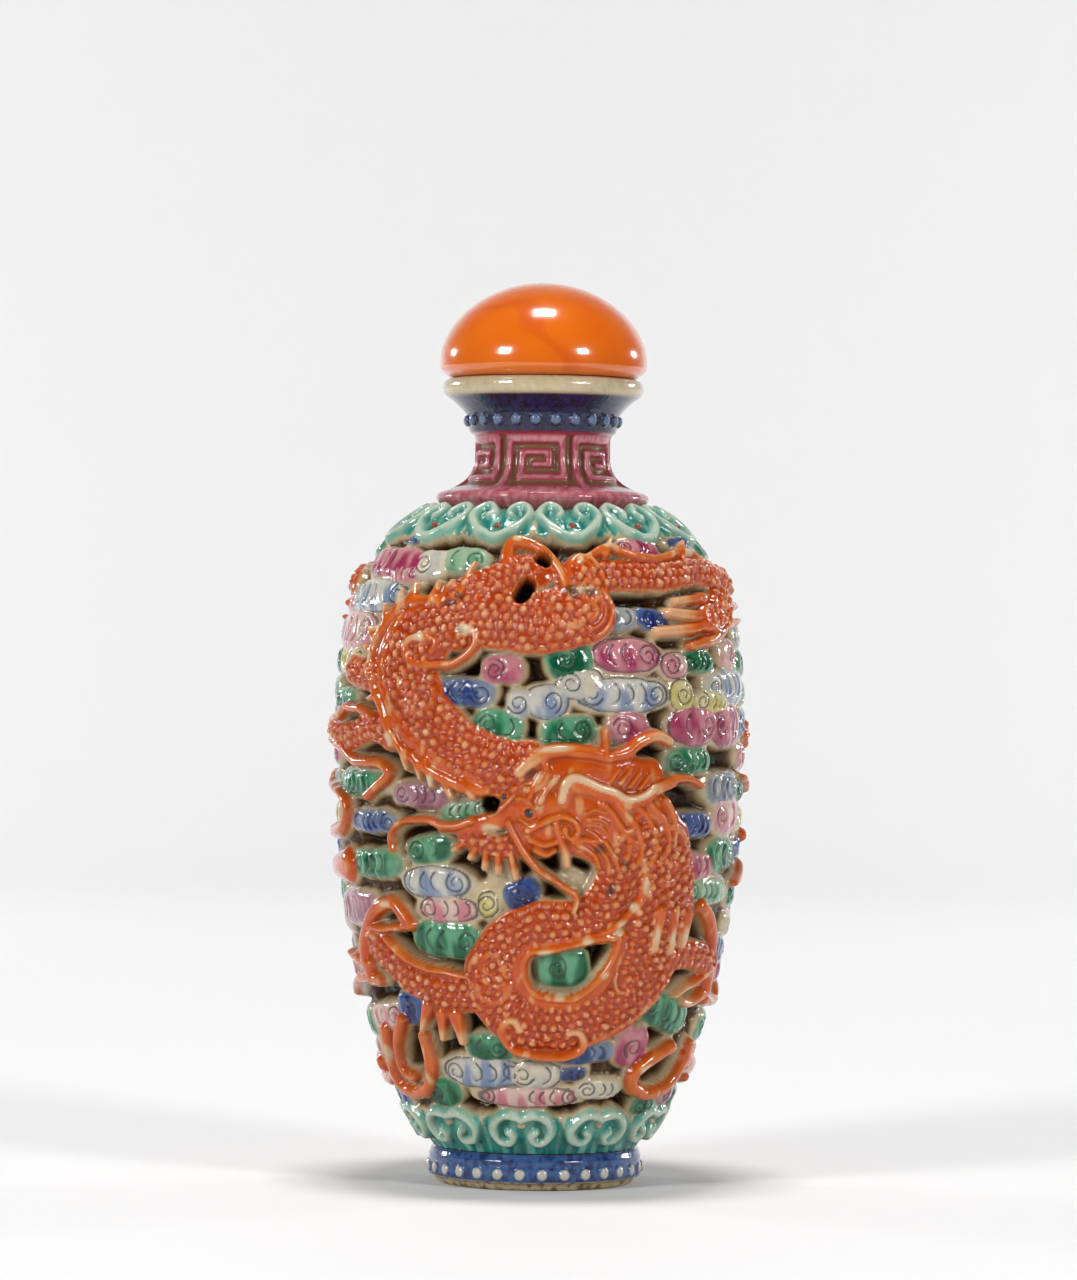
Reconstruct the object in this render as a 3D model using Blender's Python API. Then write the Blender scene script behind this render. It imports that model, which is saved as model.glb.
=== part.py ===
"""A moulded porcelain snuff bottle wrapped in a pierced relief of dragons in clouds, and its domed stopper.

The bottle is one hollow turned form. Its belly is carved: the relief is worked out on an unrolled sheet and
laid on the belly. The sheet runs in degrees round (0 at the front, positive to the viewer's right) and in
millimetres up the wall. Half a turn of it repeats: one dragon at the front, its partner at the back.
Metres, +Z up, origin under the middle of the foot, front towards -Y.
"""

import math

import bmesh
import bpy
import numpy as np

MM = 0.001

# Belly: a superellipse above its widest level and another below it; each is cut off short of closing
BELLY_RADIUS = 17.6 * MM
BELLY_LEVEL = 38.4 * MM
SHOULDER_LEVEL = 57.3 * MM
SHOULDER_CUT = 1.4 * MM
SHOULDER_BEND = 2.6
SHOULDER_POWER = 0.379
FOOT_CUT = 6.2 * MM
FOOT_BEND = 2.4
FOOT_POWER = 0.57

# Foot: a plain rim to stand on, a band of beads and a hollow underside
RIM_HEIGHT = 0.6 * MM
RIM_RADIUS = 8.3 * MM
BAND_HEIGHT = 2.6 * MM
BAND_BULGE = 0.25 * MM
FOOT_RING_WIDTH = 1.6 * MM
FOOT_HOLLOW = 1.4 * MM
FOOT_BEADS = 30
FOOT_BEAD_LEVEL = 1.35 * MM
FOOT_BEAD_SIZE = 0.45 * MM
FOOT_BEAD_TURN = 4.0
BEAD_SHARE = 0.26

# Neck: a base rim, a waisted fret band, a beaded collar that flares, and a rounded lip
NECK_BASE_RADIUS = 8.35 * MM
NECK_BASE_HEIGHT = 0.55 * MM
NECK_WAIST_RADIUS = 5.6 * MM
NECK_WAIST_LEVEL = 62.3 * MM
NECK_FLARE = 3.6
COLLAR_LEVEL = 63.0 * MM
COLLAR_FOOT_RADIUS = 6.1 * MM
COLLAR_BEADS = 24
COLLAR_BEAD_LEVEL = 63.8 * MM
COLLAR_BEAD_SIZE = 0.45 * MM
COLLAR_BEAD_TURN = -5.6
COLLAR_WAIST_RADIUS = 6.75 * MM
COLLAR_WAIST_LEVEL = 64.6 * MM
LIP_LEVEL = 65.9 * MM
LIP_RADIUS = 8.45 * MM
LIP_UNDERCUT = 0.35 * MM
LIP_FACE_RADIUS = 7.7 * MM
MOUTH_LEVEL = 67.4 * MM
MOUTH_BORE = 6.5 * MM

# Inside: the wall behind the deepest opening, and the floor over the hollow of the foot
WALL = 1.3 * MM
FLOOR = 1.8 * MM

# Fret: squared spirals raised round the neck
FRET_PANELS = 6
FRET_HEIGHT = 0.35 * MM
FRET_TURN = -36.0
FRET_MARGIN = 0.35 * MM

# Relief depths, from the belly's face inwards; crowns stand out from it
OPENING_DEPTH = 2.0 * MM
CLOUD_DEPTH = 0.50 * MM
CLOUD_ROUNDING = 0.40 * MM
CURL_CROWN = 0.15 * MM
BODY_CROWN = 0.50 * MM
LIMB_CROWN = 0.30 * MM
HEAD_CROWN = 0.50 * MM
HORN_CROWN = 0.60 * MM
STROKE_ROUNDING = 0.85 * MM
EDGE = 0.65 * MM
SOFTNESS = 0.18 * MM

# Stopper: a cabochon that rests on the lip, and the plain cork under it
CAP_RADIUS = 8.7 * MM
CAP_FACE_RADIUS = 7.9 * MM
CAP_BEVEL = 0.75 * MM
CAP_DOME = 6.6 * MM
CAP_DOME_BEND = 1.8
CAP_BAND = 0.45 * MM
CORK_LENGTH = 9.0 * MM
CORK_TAPER = 0.35 * MM
CORK_CHAMFER = 0.5 * MM
REST_GAP = 0.3 * MM
CORK_GAP = 0.3 * MM

# Fineness: points and rows of rings, the faces kept after the carved ones are simplified, and where shading breaks
FOOT_SIDES = 60
NECK_SIDES = 48
CAVITY_SIDES = 24
CAVITY_ROWS = 10
CARVED_SIDES = 480
CARVED_ROWS = 250
WALL_ROWS = 2000
FRET_ROWS = 36
KEPT_SHARE = 0.0325
CAP_SIDES = 32
CAP_ROWS = 8
CAP_TOP_TURN = 78.0
CORK_SIDES = 16
SHARP_TURN = 40.0

# The sheet that the pattern is drawn on: millimetres up the wall of the bottle at its real size
PATTERN_LOW = 2.67
PATTERN_HIGH = 62.07
PATTERN_BELLY = 17.6

# Ruyi collars: number of heads, degrees to the first, the level of their tips, which way is out and their size.
# The outline is half a head, in shares of the pitch across and in millimetres from the tip; the pad lies under it.
UPPER_HEADS = (12, 12.0, 56.0, 1.25, 1.0)
LOWER_HEADS = (10, -6.0, 7.3, -0.85, 1.05)
RUYI_OUTLINE = [(0, 0), (0.28, 1.0), (0.47, 2.5), (0.36, 3.9), (0.17, 3.7), (0.16, 2.8), (0.28, 2.7)]
RUYI_LINE = (0.45, 0.35)
RUYI_PAD = (0.56, 2.4, 2.2)

# Clouds: degrees round, millimetres up, half width in degrees, half height, lean; ovals with squared-off ends
CLOUD_BEND = 2.6
CLOUDS = [
    (-26, 54.3, 8, 1.3, -8), (-40, 54, 7, 1.5, 0), (-10.5, 44.7, 5.5, 1.1, 0), (-21, 42.8, 8, 1.1, -3),
    (-11.5, 40.1, 6.5, 1.2, -10), (-35, 34.3, 9, 1.0, -3), (-20.5, 33.1, 7, 0.8, 5), (36, 55.7, 9, 1.0, 0),
    (23, 49.1, 5.5, 1.0, 0), (34, 49, 5.5, 0.9, -15), (8, 45.6, 6, 1.5, 15), (25.5, 40, 6, 1.2, 0),
    (8, 39.7, 7, 1.1, 5), (51, 45.5, 7, 0.9, 0), (69, 43.4, 12, 1.2, 0), (48, 40.1, 9, 1.4, 0),
    (66, 39.6, 12, 0.8, 0), (47, 37.3, 8.5, 1.0, 0), (66, 35, 9, 1.1, 0), (49, 32, 8.5, 1.0, 0),
    (69, 32.7, 8, 1.2, 0), (67, 29.4, 8, 1.1, 0), (52, 28.6, 8, 1.0, 0), (61, 26.4, 11, 0.9, 0),
    (77, 21.2, 8, 1.0, -5), (48, 16.2, 13, 1.4, -18), (18, 12.8, 10, 0.9, 5), (14, 10.9, 5, 0.6, 5),
    (36, 13.2, 6.5, 1.7, -10), (-63, 35.1, 12, 0.9, 0), (-55, 32, 10, 0.9, 0), (-55, 28.5, 11, 1.1, 0),
    (-74, 24.6, 15, 1.1, 3), (-63, 15.3, 10, 1.0, 8), (-46, 16.3, 5.5, 1.3, 0), (-32.5, 29.9, 7, 1.1, 5),
    (-28, 22.4, 11, 1.4, -3), (-3.5, 26.3, 6, 0.8, 18), (8, 20.3, 7.5, 1.5, 5), (-16.5, 13.2, 8, 1.1, -5),
    (-40, 8.8, 8, 1.2, 10), (53, 7.6, 7, 0.8, 0), (-31, 27.2, 11, 1.3, 0), (-27, 25, 9.5, 1.1, 0),
    (-14.5, 25.5, 3, 1.1, 0), (25, 46, 10.5, 1.4, 0), (41, 45.2, 5, 1.1, 0), (11, 43.6, 6.5, 1.3, 0),
    (2, 42.1, 6, 1.4, 0), (24, 42.7, 13.5, 1.4, 0), (43.5, 42.7, 4.5, 1.3, 0), (-6, 41.9, 3, 1.1, 0),
    (-20, 10.9, 16, 1.4, 0), (0, 10.8, 10, 1.3, 0), (-3, 8.7, 20, 1.0, 0), (26, 9.4, 9, 0.9, 0),
    (-70, 55, 22, 0.9, 0), (-54, 53.7, 6, 1.2, 0), (-66, 51.3, 16, 1.3, 0), (-76, 48, 13, 1.4, 0),
    (-71, 45.3, 9, 0.9, 0), (-76, 42, 9, 0.8, 0), (58, 42.2, 8, 0.9, 0), (69, 46.2, 5, 1.0, 0),
    (62, 56.5, 7, 0.5, 0),
]

# Dragon: strokes as half width at each end in millimetres, and points in degrees round and millimetres up
BODY = [
    (2.4, 2.5, [(-3, 36.6), (-14, 37), (-24, 38.6), (-33, 41.5), (-38.5, 45), (-34, 48), (-24, 49), (-12, 49),
                (0, 48.6), (13, 49.6)]),
    (1.6, 1.5, [(-26, 51), (-16, 52), (-6, 52.6), (0, 51.3)]),
    (2.0, 1.8, [(8, 49.6), (14, 51.2), (13, 53)]),
    (2.4, 2.2, [(37, 31), (41, 27.5), (41.5, 24), (37, 20), (28, 17.3), (16, 15.9), (4, 15.4), (-7, 16),
                (-14, 18), (-15, 21), (-9, 23.6), (2, 24.6), (12, 25.4), (20, 27), (24, 29.5)]),
    (2.6, 2.2, [(16, 33.5), (26, 32.5), (33, 29.5), (33, 26)]),
    (1.4, 1.2, [(-50, 44), (-58, 44.2), (-64, 44.5)]),
]
LIMBS = [
    (1.5, 1.2, [(9, 52.8), (20, 53.8), (32, 53), (44, 53.2), (56, 54), (66, 53.4), (76, 52.8), (84, 52.6)]),
    (1.5, 1.3, [(66, 53), (67, 51.3), (60, 49.7), (54, 49.3)]),
    (0.8, 0.3, [(58, 50.8), (48, 50.1), (37, 49.9)]),
    (0.7, 0.3, [(58, 49.6), (49, 48.6), (39, 48)]),
    (0.7, 0.3, [(62, 49), (53, 47.6), (43, 46.9)]),
    (0.8, 0.4, [(62, 50.4), (72, 50.3), (84, 50.2)]),
    (0.6, 0.3, [(62, 48.9), (70, 48.7), (82, 48.9)]),
    (1.3, 1.0, [(-45, 38.8), (-52, 39.8), (-60, 39), (-70, 38.9), (-84, 39.3)]),
    (0.6, 0.5, [(-84, 38.6), (-70, 38), (-60, 36.9), (-50, 36.9), (-45, 36.2), (-49, 35.1), (-55, 34.2)]),
    (0.5, 0.5, [(-84, 40.2), (-74, 40.6), (-68, 41.3), (-60, 41.3), (-53, 40.7)]),
    (0.7, 0.7, [(-90, 34.8), (-80, 34.6), (-70, 33.9), (-67, 32.6), (-72, 31.3), (-82, 30.9), (-90, 30.9)]),
    (1.6, 1.4, [(-90, 28), (-82, 28), (-70, 28.2)]),
    (1.0, 0.6, [(-62, 18.9), (-64, 21), (-62, 23), (-57, 25), (-51, 26.2), (-45, 24.6), (-42, 23.3)]),
    (0.5, 0.4, [(-58, 23.3), (-50, 23.6), (-44, 23.3)]),
    (0.7, 0.4, [(-62, 20), (-70, 20.3), (-78, 20.8)]),
    (0.6, 0.4, [(-58, 18.7), (-68, 18.8), (-78, 18.3), (-86, 17.2)]),
    (1.7, 1.2, [(-20, 18.3), (-30, 18), (-40, 18.8), (-48, 20), (-57, 21.6)]),
    (0.9, 0.3, [(-26, 17), (-25, 14.5)]),
    (0.9, 0.3, [(-32, 17), (-31.5, 14.4)]),
    (0.9, 0.3, [(-37, 17), (-41.5, 14.9)]),
    (0.9, 0.8, [(-50, 14.9), (-58, 12.7), (-66, 10.3), (-76, 9.3)]),
    (0.7, 0.7, [(-72, 9.1), (-60, 9.3), (-50, 9.5), (-46, 10.6), (-44, 12.3), (-41, 14.1)]),
    (0.8, 0.7, [(-62, 13.9), (-72, 12.6), (-84, 10.8)]),
    (0.7, 0.6, [(56, 13.2), (46, 12.4), (40, 10.9), (42, 9.6), (50, 9.2), (60, 9.7), (66, 10.9), (64, 12.4)]),
    (1.0, 1.0, [(66, 11.6), (75, 11.3), (90, 10.8)]),
    (0.6, 0.6, [(18, 13.9), (28, 14.9), (36, 16.8), (41, 18.6)]),
    (0.5, 0.5, [(22.5, 22.8), (15, 23), (4, 22.8), (-2.5, 22), (-4, 20.2), (0, 18.3), (8, 17.8), (17, 18.4),
                (22, 20.2), (22.5, 22.8)]),
    (0.9, 0.5, [(36, 24.2), (36, 22)]),
    (0.9, 0.5, [(41, 24.2), (41.5, 21.9)]),
    (0.9, 0.5, [(46, 24), (47, 22.3)]),
    (1.3, 1.2, [(40, 20.8), (48, 21.2), (56, 21.2), (63, 21)]),
    (0.9, 0.9, [(54, 24.6), (61, 24), (65, 22.4), (67, 20), (68, 18.2)]),
    (0.7, 0.3, [(66, 19), (58, 19.3), (49, 18.4)]),
    (0.7, 0.4, [(68, 18), (60, 17.5), (52, 17.2)]),
    (0.6, 0.4, [(68, 17.2), (76, 16.9), (86, 17)]),
]
CRESTS = [
    (0.8, 0.8, [(-9, 34.9), (-20, 35.3), (-31, 37.2), (-42, 40.3), (-47.5, 43.5), (-50, 46.5), (-45, 49.5),
                (-34, 50.9), (-24, 51.7)]),
    (0.6, 0.5, [(0, 52.5), (3, 54.2), (-2, 55.6), (-9, 55.9), (-11.5, 54.4), (-8.5, 53.7)]),
    (0.7, 0.2, [(-24, 51.5), (-22, 53.5)]), (0.6, 0.2, [(-32, 50.6), (-31.5, 52)]),
    (0.6, 0.2, [(-44, 49.6), (-43.5, 51.3)]), (0.6, 0.2, [(-50, 46), (-54.5, 46.4)]),
    (0.6, 0.2, [(-44, 40.2), (-44.5, 38.3)]), (0.6, 0.2, [(-31, 37.3), (-31.5, 35.9)]),
    (0.6, 0.2, [(-18, 35.7), (-18, 34.5)]), (0.6, 0.2, [(20, 54.5), (27, 56.2)]),
    (0.6, 0.2, [(55, 54.4), (62, 56)]),
]
HEAD = [
    (1.8, 1.3, [(-6, 34.2), (4, 35), (14, 35.5), (24, 36.3), (32, 36.6)]),
    (1.8, 1.7, [(-3, 32.6), (6, 32.4), (15, 32.6)]),
    (1.4, 0.8, [(-4, 33.3), (-12, 32.5), (-21, 31.6)]),
    (1.1, 0.6, [(-2, 31), (-10, 30.4), (-18, 29.7)]),
    (0.5, 0.2, [(-8, 30.5), (-10, 28.3)]), (0.5, 0.2, [(-12, 30.5), (-15, 28.4)]),
    (0.5, 0.2, [(-16, 30.3), (-20, 28.8)]), (0.5, 0.2, [(-19, 31), (-24, 30)]),
]
HORNS = [
    (0.7, 0.5, [(-6, 36.4), (0, 37.9), (9, 38.3), (18, 38.6), (24, 38.3), (30, 39.1), (37, 39.4)]),
    (0.5, 0.2, [(17, 38.6), (19, 40)]),
    (0.5, 0.4, [(5, 34), (9, 35.9), (15, 35.4), (22, 34.6), (30, 34.5), (38, 35.4), (51, 35.4)]),
    (0.5, 0.3, [(-19, 31.8), (-28, 31.9), (-36, 32.4), (-43, 31.6), (-46, 30.2)]),
    (0.5, 0.2, [(-6, 32), (-2, 30), (4, 28.4), (9, 27.5), (11, 26.3), (9.5, 25)]),
]


def smooth(x):
    """A soft step from 0 to 1."""
    x = np.clip(x, 0.0, 1.0)
    return x * x * (3.0 - 2.0 * x)


def belly_radius(z):
    """Radius of the belly's face at height z."""
    up = z > BELLY_LEVEL
    shoulder_reach = SHOULDER_LEVEL + SHOULDER_CUT - BELLY_LEVEL
    foot_reach = BELLY_LEVEL + FOOT_CUT - BAND_HEIGHT
    reach = np.where(up, shoulder_reach, foot_reach)
    bend = np.where(up, SHOULDER_BEND, FOOT_BEND)
    power = np.where(up, SHOULDER_POWER, FOOT_POWER)
    return BELLY_RADIUS * (1.0 - (np.abs(z - BELLY_LEVEL) / reach) ** bend) ** power


def wall(rows):
    """Points up the belly's face, evenly spaced along it, with the outward normal at each."""
    z = np.linspace(BAND_HEIGHT, SHOULDER_LEVEL, WALL_ROWS)
    r = belly_radius(z)
    along = np.concatenate([[0.0], np.cumsum(np.hypot(np.diff(r), np.diff(z)))])
    step = np.linspace(0.0, along[-1], rows)
    slope_r = np.interp(step, along, np.gradient(r, along))
    slope_z = np.interp(step, along, np.gradient(z, along))
    size = np.hypot(slope_r, slope_z)
    return np.interp(step, along, r), np.interp(step, along, z), slope_z / size, -slope_r / size


class Sheet:
    """Half a turn of the pattern, unrolled: depths in millimetres, inwards negative."""

    def __init__(self, columns, rows):
        self.turn = np.arange(columns) * 180.0 / columns
        self.rise = np.linspace(PATTERN_LOW, PATTERN_HIGH, rows)
        self.depth = np.full((rows, columns), -OPENING_DEPTH / MM)
        z = np.interp(self.rise, [PATTERN_LOW, PATTERN_HIGH], [BAND_HEIGHT, SHOULDER_LEVEL])
        self.scale = np.radians(belly_radius(z) / MM)

    def near(self, turn, rise, reach):
        """The rows and columns within reach of a point, and their places from it in millimetres."""
        rows = np.nonzero(np.abs(self.rise - rise) <= reach)[0]
        away = (self.turn - turn + 90.0) % 180.0 - 90.0
        scale = np.interp(rise, self.rise, self.scale)
        columns = np.nonzero(np.abs(away) * scale <= reach)[0]
        part = np.ix_(rows, columns)
        return part, away[columns][None, :] * scale, (self.rise[rows] - rise)[:, None], scale

    def raise_to(self, part, inside, top):
        """Lift a motif to its top where inside is positive; past its edge it falls to the openings' floor."""
        fall = smooth(-inside / (EDGE / MM))
        motif = top * (1.0 - fall) - OPENING_DEPTH / MM * fall
        self.depth[part] = np.maximum(self.depth[part], motif)

    def oval(self, turn, rise, half_turn, half_rise, lean):
        """Distance inside a plump oval, and how far out from its middle a point is, 0 to 1."""
        reach = 1.3 * max(half_turn * self.scale.max(), half_rise) + 1.0
        part, x, y, scale = self.near(turn, rise, reach)
        cos, sin = math.cos(math.radians(lean)), math.sin(math.radians(lean))
        across = (x * cos + y * sin) / (half_turn * scale)
        up = (y * cos - x * sin) / half_rise
        out = (np.abs(across) ** CLOUD_BEND + np.abs(up) ** CLOUD_BEND) ** (1.0 / CLOUD_BEND)
        return part, (1.0 - out) * min(half_rise, half_turn * scale), np.minimum(out, 1.0)

    def cloud(self, turn, rise, half_turn, half_rise, lean):
        """A small pillow of cloud."""
        part, inside, out = self.oval(turn, rise, half_turn, half_rise, lean)
        self.raise_to(part, inside, -(CLOUD_DEPTH + CLOUD_ROUNDING * out ** 3) / MM)

    def stroke(self, start_width, end_width, points, crown):
        """A rounded band along a smooth curve, tapering from one half width to the other."""
        path = np.array(curve(points))
        middle = (path.min(axis=0) + path.max(axis=0)) / 2.0
        half = (path.max(axis=0) - path.min(axis=0)) / 2.0
        widest = max(start_width, end_width) + EDGE / MM
        reach = max(half[0] * self.scale.max(), half[1]) + widest
        part, x, y, scale = self.near(middle[0], middle[1], reach)
        path = (path - middle) * (scale, 1.0)
        best = np.full(np.broadcast(x, y).shape, np.inf)
        share = np.zeros_like(best)
        steps = len(path) - 1
        for i in range(steps):
            run = path[i + 1] - path[i]
            t = np.clip(((x - path[i, 0]) * run[0] + (y - path[i, 1]) * run[1]) / (run @ run), 0.0, 1.0)
            far = np.hypot(x - path[i, 0] - t * run[0], y - path[i, 1] - t * run[1])
            closer = far < best
            best = np.where(closer, far, best)
            share = np.where(closer, (i + t) / steps, share)
        width = start_width + (end_width - start_width) * share
        out = np.minimum(best / width, 1.0)
        self.raise_to(part, width - best, (crown - STROKE_ROUNDING * out ** 3) / MM)


def curve(points, steps=5):
    """A smooth curve through points: Catmull-Rom, with a few steps for each span."""
    p = np.array([points[0], *points, points[-1]], dtype=float)
    smoothed = []
    for i in range(1, len(p) - 2):
        for t in np.arange(steps) / steps:
            smoothed.append(0.5 * (2 * p[i] + (p[i + 1] - p[i - 1]) * t
                                   + (2 * p[i - 1] - 5 * p[i] + 4 * p[i + 1] - p[i + 2]) * t ** 2
                                   + (3 * p[i] - p[i - 1] - 3 * p[i + 1] + p[i + 2]) * t ** 3))
    smoothed.append(p[-1])
    return smoothed


def ruyi(sheet, count, first, tip, up, size):
    """A collar of heads: a pad, a pointed outline and two curls, on the side that up points to."""
    pitch = 360.0 / count
    pad_width, pad_middle, pad_height = RUYI_PAD
    for i in range(count // 2):
        turn = first + i * pitch
        sheet.cloud(turn, tip + pad_middle * up, pitch * pad_width, pad_height * abs(up), 0)
        for side in (-1, 1):
            points = [(turn + side * pitch * across, tip + up * away) for across, away in RUYI_OUTLINE]
            sheet.stroke(RUYI_LINE[0] * size, RUYI_LINE[1] * size, points, CURL_CROWN)


def soften(sheet):
    """The depths with their sharp corners rubbed down, as glaze does, by averaging neighbours."""
    depth = sheet.depth
    step = math.pi * PATTERN_BELLY / len(sheet.turn)
    for _ in range(round(2.0 * (SOFTNESS / MM / step) ** 2)):
        depth = (np.roll(depth, 1, axis=1) + 2.0 * depth + np.roll(depth, -1, axis=1)) / 4.0
        padded = np.pad(depth, ((1, 1), (0, 0)), mode="edge")
        depth = (padded[:-2] + 2.0 * depth + padded[2:]) / 4.0
    return depth


def carve(columns, rows):
    """The whole relief: clouds and collars, then the dragon over them; the inner wall shows between."""
    sheet = Sheet(columns, rows)
    for cloud in CLOUDS:
        sheet.cloud(*cloud)
    ruyi(sheet, *UPPER_HEADS)
    ruyi(sheet, *LOWER_HEADS)
    for strokes, crown in ((BODY, BODY_CROWN), (LIMBS, LIMB_CROWN), (CRESTS, LIMB_CROWN), (HEAD, HEAD_CROWN),
                           (HORNS, HORN_CROWN)):
        for start_width, end_width, points in strokes:
            sheet.stroke(start_width, end_width, points, crown)
    return np.tile(soften(sheet), 2) * MM


def neck_radius(z):
    """Radius of the neck's face, waisted under the collar and flaring to its base."""
    low = SHOULDER_LEVEL + NECK_BASE_HEIGHT
    share = np.clip((NECK_WAIST_LEVEL - z) / (NECK_WAIST_LEVEL - low), 0.0, 1.0)
    return NECK_WAIST_RADIUS + (NECK_BASE_RADIUS - NECK_WAIST_RADIUS) * share ** NECK_FLARE


def fret(columns, rows):
    """Heights of the fret: squared spirals between two plain ridges, on cells of one ridge width."""
    cells = [
        "#########.",
        ".........#",
        "#######..#",
        "#.....#..#",
        "#.###.#..#",
        "#...#.#..#",
        "#####.#..#",
        "......####",
        "##########",
    ]
    high = np.array([[mark == "#" for mark in line] for line in cells[::-1]], dtype=float)
    turn = (np.arange(columns) * 360.0 / columns - FRET_TURN) % (360.0 / FRET_PANELS)
    across = (turn * FRET_PANELS / 360.0 * high.shape[1]).astype(int)
    up = np.minimum((np.linspace(0.0, 1.0, rows) * high.shape[0]).astype(int), high.shape[0] - 1)
    return high[np.ix_(up, across)] * FRET_HEIGHT


def ring(bm, sides, radius, level):
    """A ring of points; radius and level are numbers or one value for each point, the first at the front."""
    turn = np.radians(np.arange(sides) * 360.0 / sides)
    radius = np.broadcast_to(radius, sides)
    level = np.broadcast_to(level, sides)
    return [bm.verts.new((r * math.sin(a), -r * math.cos(a), z)) for a, r, z in zip(turn, radius, level)]


def join(bm, low, high):
    """Faces between two rings; where one has more points, its steps fan out to the other's."""
    if len(low) == len(high):
        for i in range(len(low)):
            j = (i + 1) % len(low)
            bm.faces.new((low[i], low[j], high[j], high[i]))
        return
    few, many = (low, high) if len(low) < len(high) else (high, low)
    times = len(many) // len(few)
    for i in range(len(few)):
        here, beyond = few[i], few[(i + 1) % len(few)]
        fan = [many[(i * times + k) % len(many)] for k in range(times + 1)]
        half = times // 2
        faces = [(here, fan[half], beyond)]
        faces += [(here, fan[k], fan[k + 1]) for k in range(half)]
        faces += [(beyond, fan[k], fan[k + 1]) for k in range(half, times)]
        for a, b, c in faces:
            bm.faces.new((a, b, c) if few is high else (a, c, b))


def beaded(sides, radius, beads, size, first):
    """Radii of a ring that stands out at each bead."""
    turn = np.arange(sides) * 360.0 / sides - first
    pitch = 360.0 / beads
    nearest = np.abs((turn + pitch / 2.0) % pitch - pitch / 2.0)
    return radius + size * (nearest < pitch * BEAD_SHARE)


def finish(name, bm, colour, roughness):
    """A named object with its own material, shaded smooth."""
    bmesh.ops.recalc_face_normals(bm, faces=bm.faces)
    mesh = bpy.data.meshes.new(name)
    bm.to_mesh(mesh)
    bm.free()
    mesh.shade_smooth()
    mesh.set_sharp_from_angle(angle=math.radians(SHARP_TURN))
    piece = bpy.data.objects.new(name, mesh)
    bpy.context.collection.objects.link(piece)
    material = bpy.data.materials.new(name)
    material.use_nodes = True
    shader = material.node_tree.nodes["Principled BSDF"]
    shader.inputs["Base Color"].default_value = (*colour, 1.0)
    shader.inputs["Roughness"].default_value = roughness
    shader.inputs["Metallic"].default_value = 0.0
    mesh.materials.append(material)
    return piece


def foot_rings(bm):
    """From the hollow under the foot out to the top of its beaded band."""
    inner = RIM_RADIUS - FOOT_RING_WIDTH
    band = belly_radius(np.array(BAND_HEIGHT)) - BAND_BULGE
    step = FOOT_BEAD_SIZE
    beads = beaded(FOOT_SIDES, band, FOOT_BEADS, FOOT_BEAD_SIZE, FOOT_BEAD_TURN)
    return [
        ring(bm, FOOT_SIDES, inner - FOOT_HOLLOW / 2.0, FOOT_HOLLOW),
        ring(bm, FOOT_SIDES, inner, 0.0),
        ring(bm, FOOT_SIDES, RIM_RADIUS, 0.0),
        ring(bm, FOOT_SIDES, RIM_RADIUS, RIM_HEIGHT),
        ring(bm, FOOT_SIDES, band, RIM_HEIGHT + BAND_BULGE),
        ring(bm, FOOT_SIDES, beads, FOOT_BEAD_LEVEL),
        ring(bm, FOOT_SIDES, band, FOOT_BEAD_LEVEL + step),
    ]


def carved_rings(bm):
    """The belly under its relief, then the neck's base rim and fret."""
    depth = carve(CARVED_SIDES // 2, CARVED_ROWS)
    rings = []
    for (r, z, out, up), row in zip(zip(*wall(CARVED_ROWS)), depth):
        rings.append(ring(bm, CARVED_SIDES, r + row * out, z + row * up))
    base = SHOULDER_LEVEL + NECK_BASE_HEIGHT
    rings.append(ring(bm, CARVED_SIDES, NECK_BASE_RADIUS, base))
    levels = np.linspace(base + FRET_MARGIN, NECK_WAIST_LEVEL, FRET_ROWS)
    for z, row in zip(levels, fret(CARVED_SIDES, FRET_ROWS)):
        rings.append(ring(bm, CARVED_SIDES, neck_radius(z) - FRET_HEIGHT + row, z))
    return rings


def collar_rings(bm):
    """The beaded collar, the lip and the face round the mouth."""
    beads = beaded(NECK_SIDES, (COLLAR_FOOT_RADIUS + COLLAR_WAIST_RADIUS) / 2.0, COLLAR_BEADS,
                   COLLAR_BEAD_SIZE, COLLAR_BEAD_TURN)
    rounding = (MOUTH_LEVEL - LIP_LEVEL) / 2.0
    return [
        ring(bm, NECK_SIDES, COLLAR_FOOT_RADIUS, COLLAR_LEVEL),
        ring(bm, NECK_SIDES, beads, COLLAR_BEAD_LEVEL),
        ring(bm, NECK_SIDES, COLLAR_WAIST_RADIUS, COLLAR_WAIST_LEVEL),
        ring(bm, NECK_SIDES, LIP_RADIUS - LIP_UNDERCUT, LIP_LEVEL),
        ring(bm, NECK_SIDES, LIP_RADIUS, LIP_LEVEL + LIP_UNDERCUT),
        ring(bm, NECK_SIDES, LIP_RADIUS, LIP_LEVEL + rounding),
        ring(bm, NECK_SIDES, (LIP_RADIUS * 2.0 + LIP_FACE_RADIUS) / 3.0, MOUTH_LEVEL - rounding / 3.0),
        ring(bm, NECK_SIDES, LIP_FACE_RADIUS, MOUTH_LEVEL),
        ring(bm, NECK_SIDES, MOUTH_BORE / 2.0, MOUTH_LEVEL),
    ]


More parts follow.
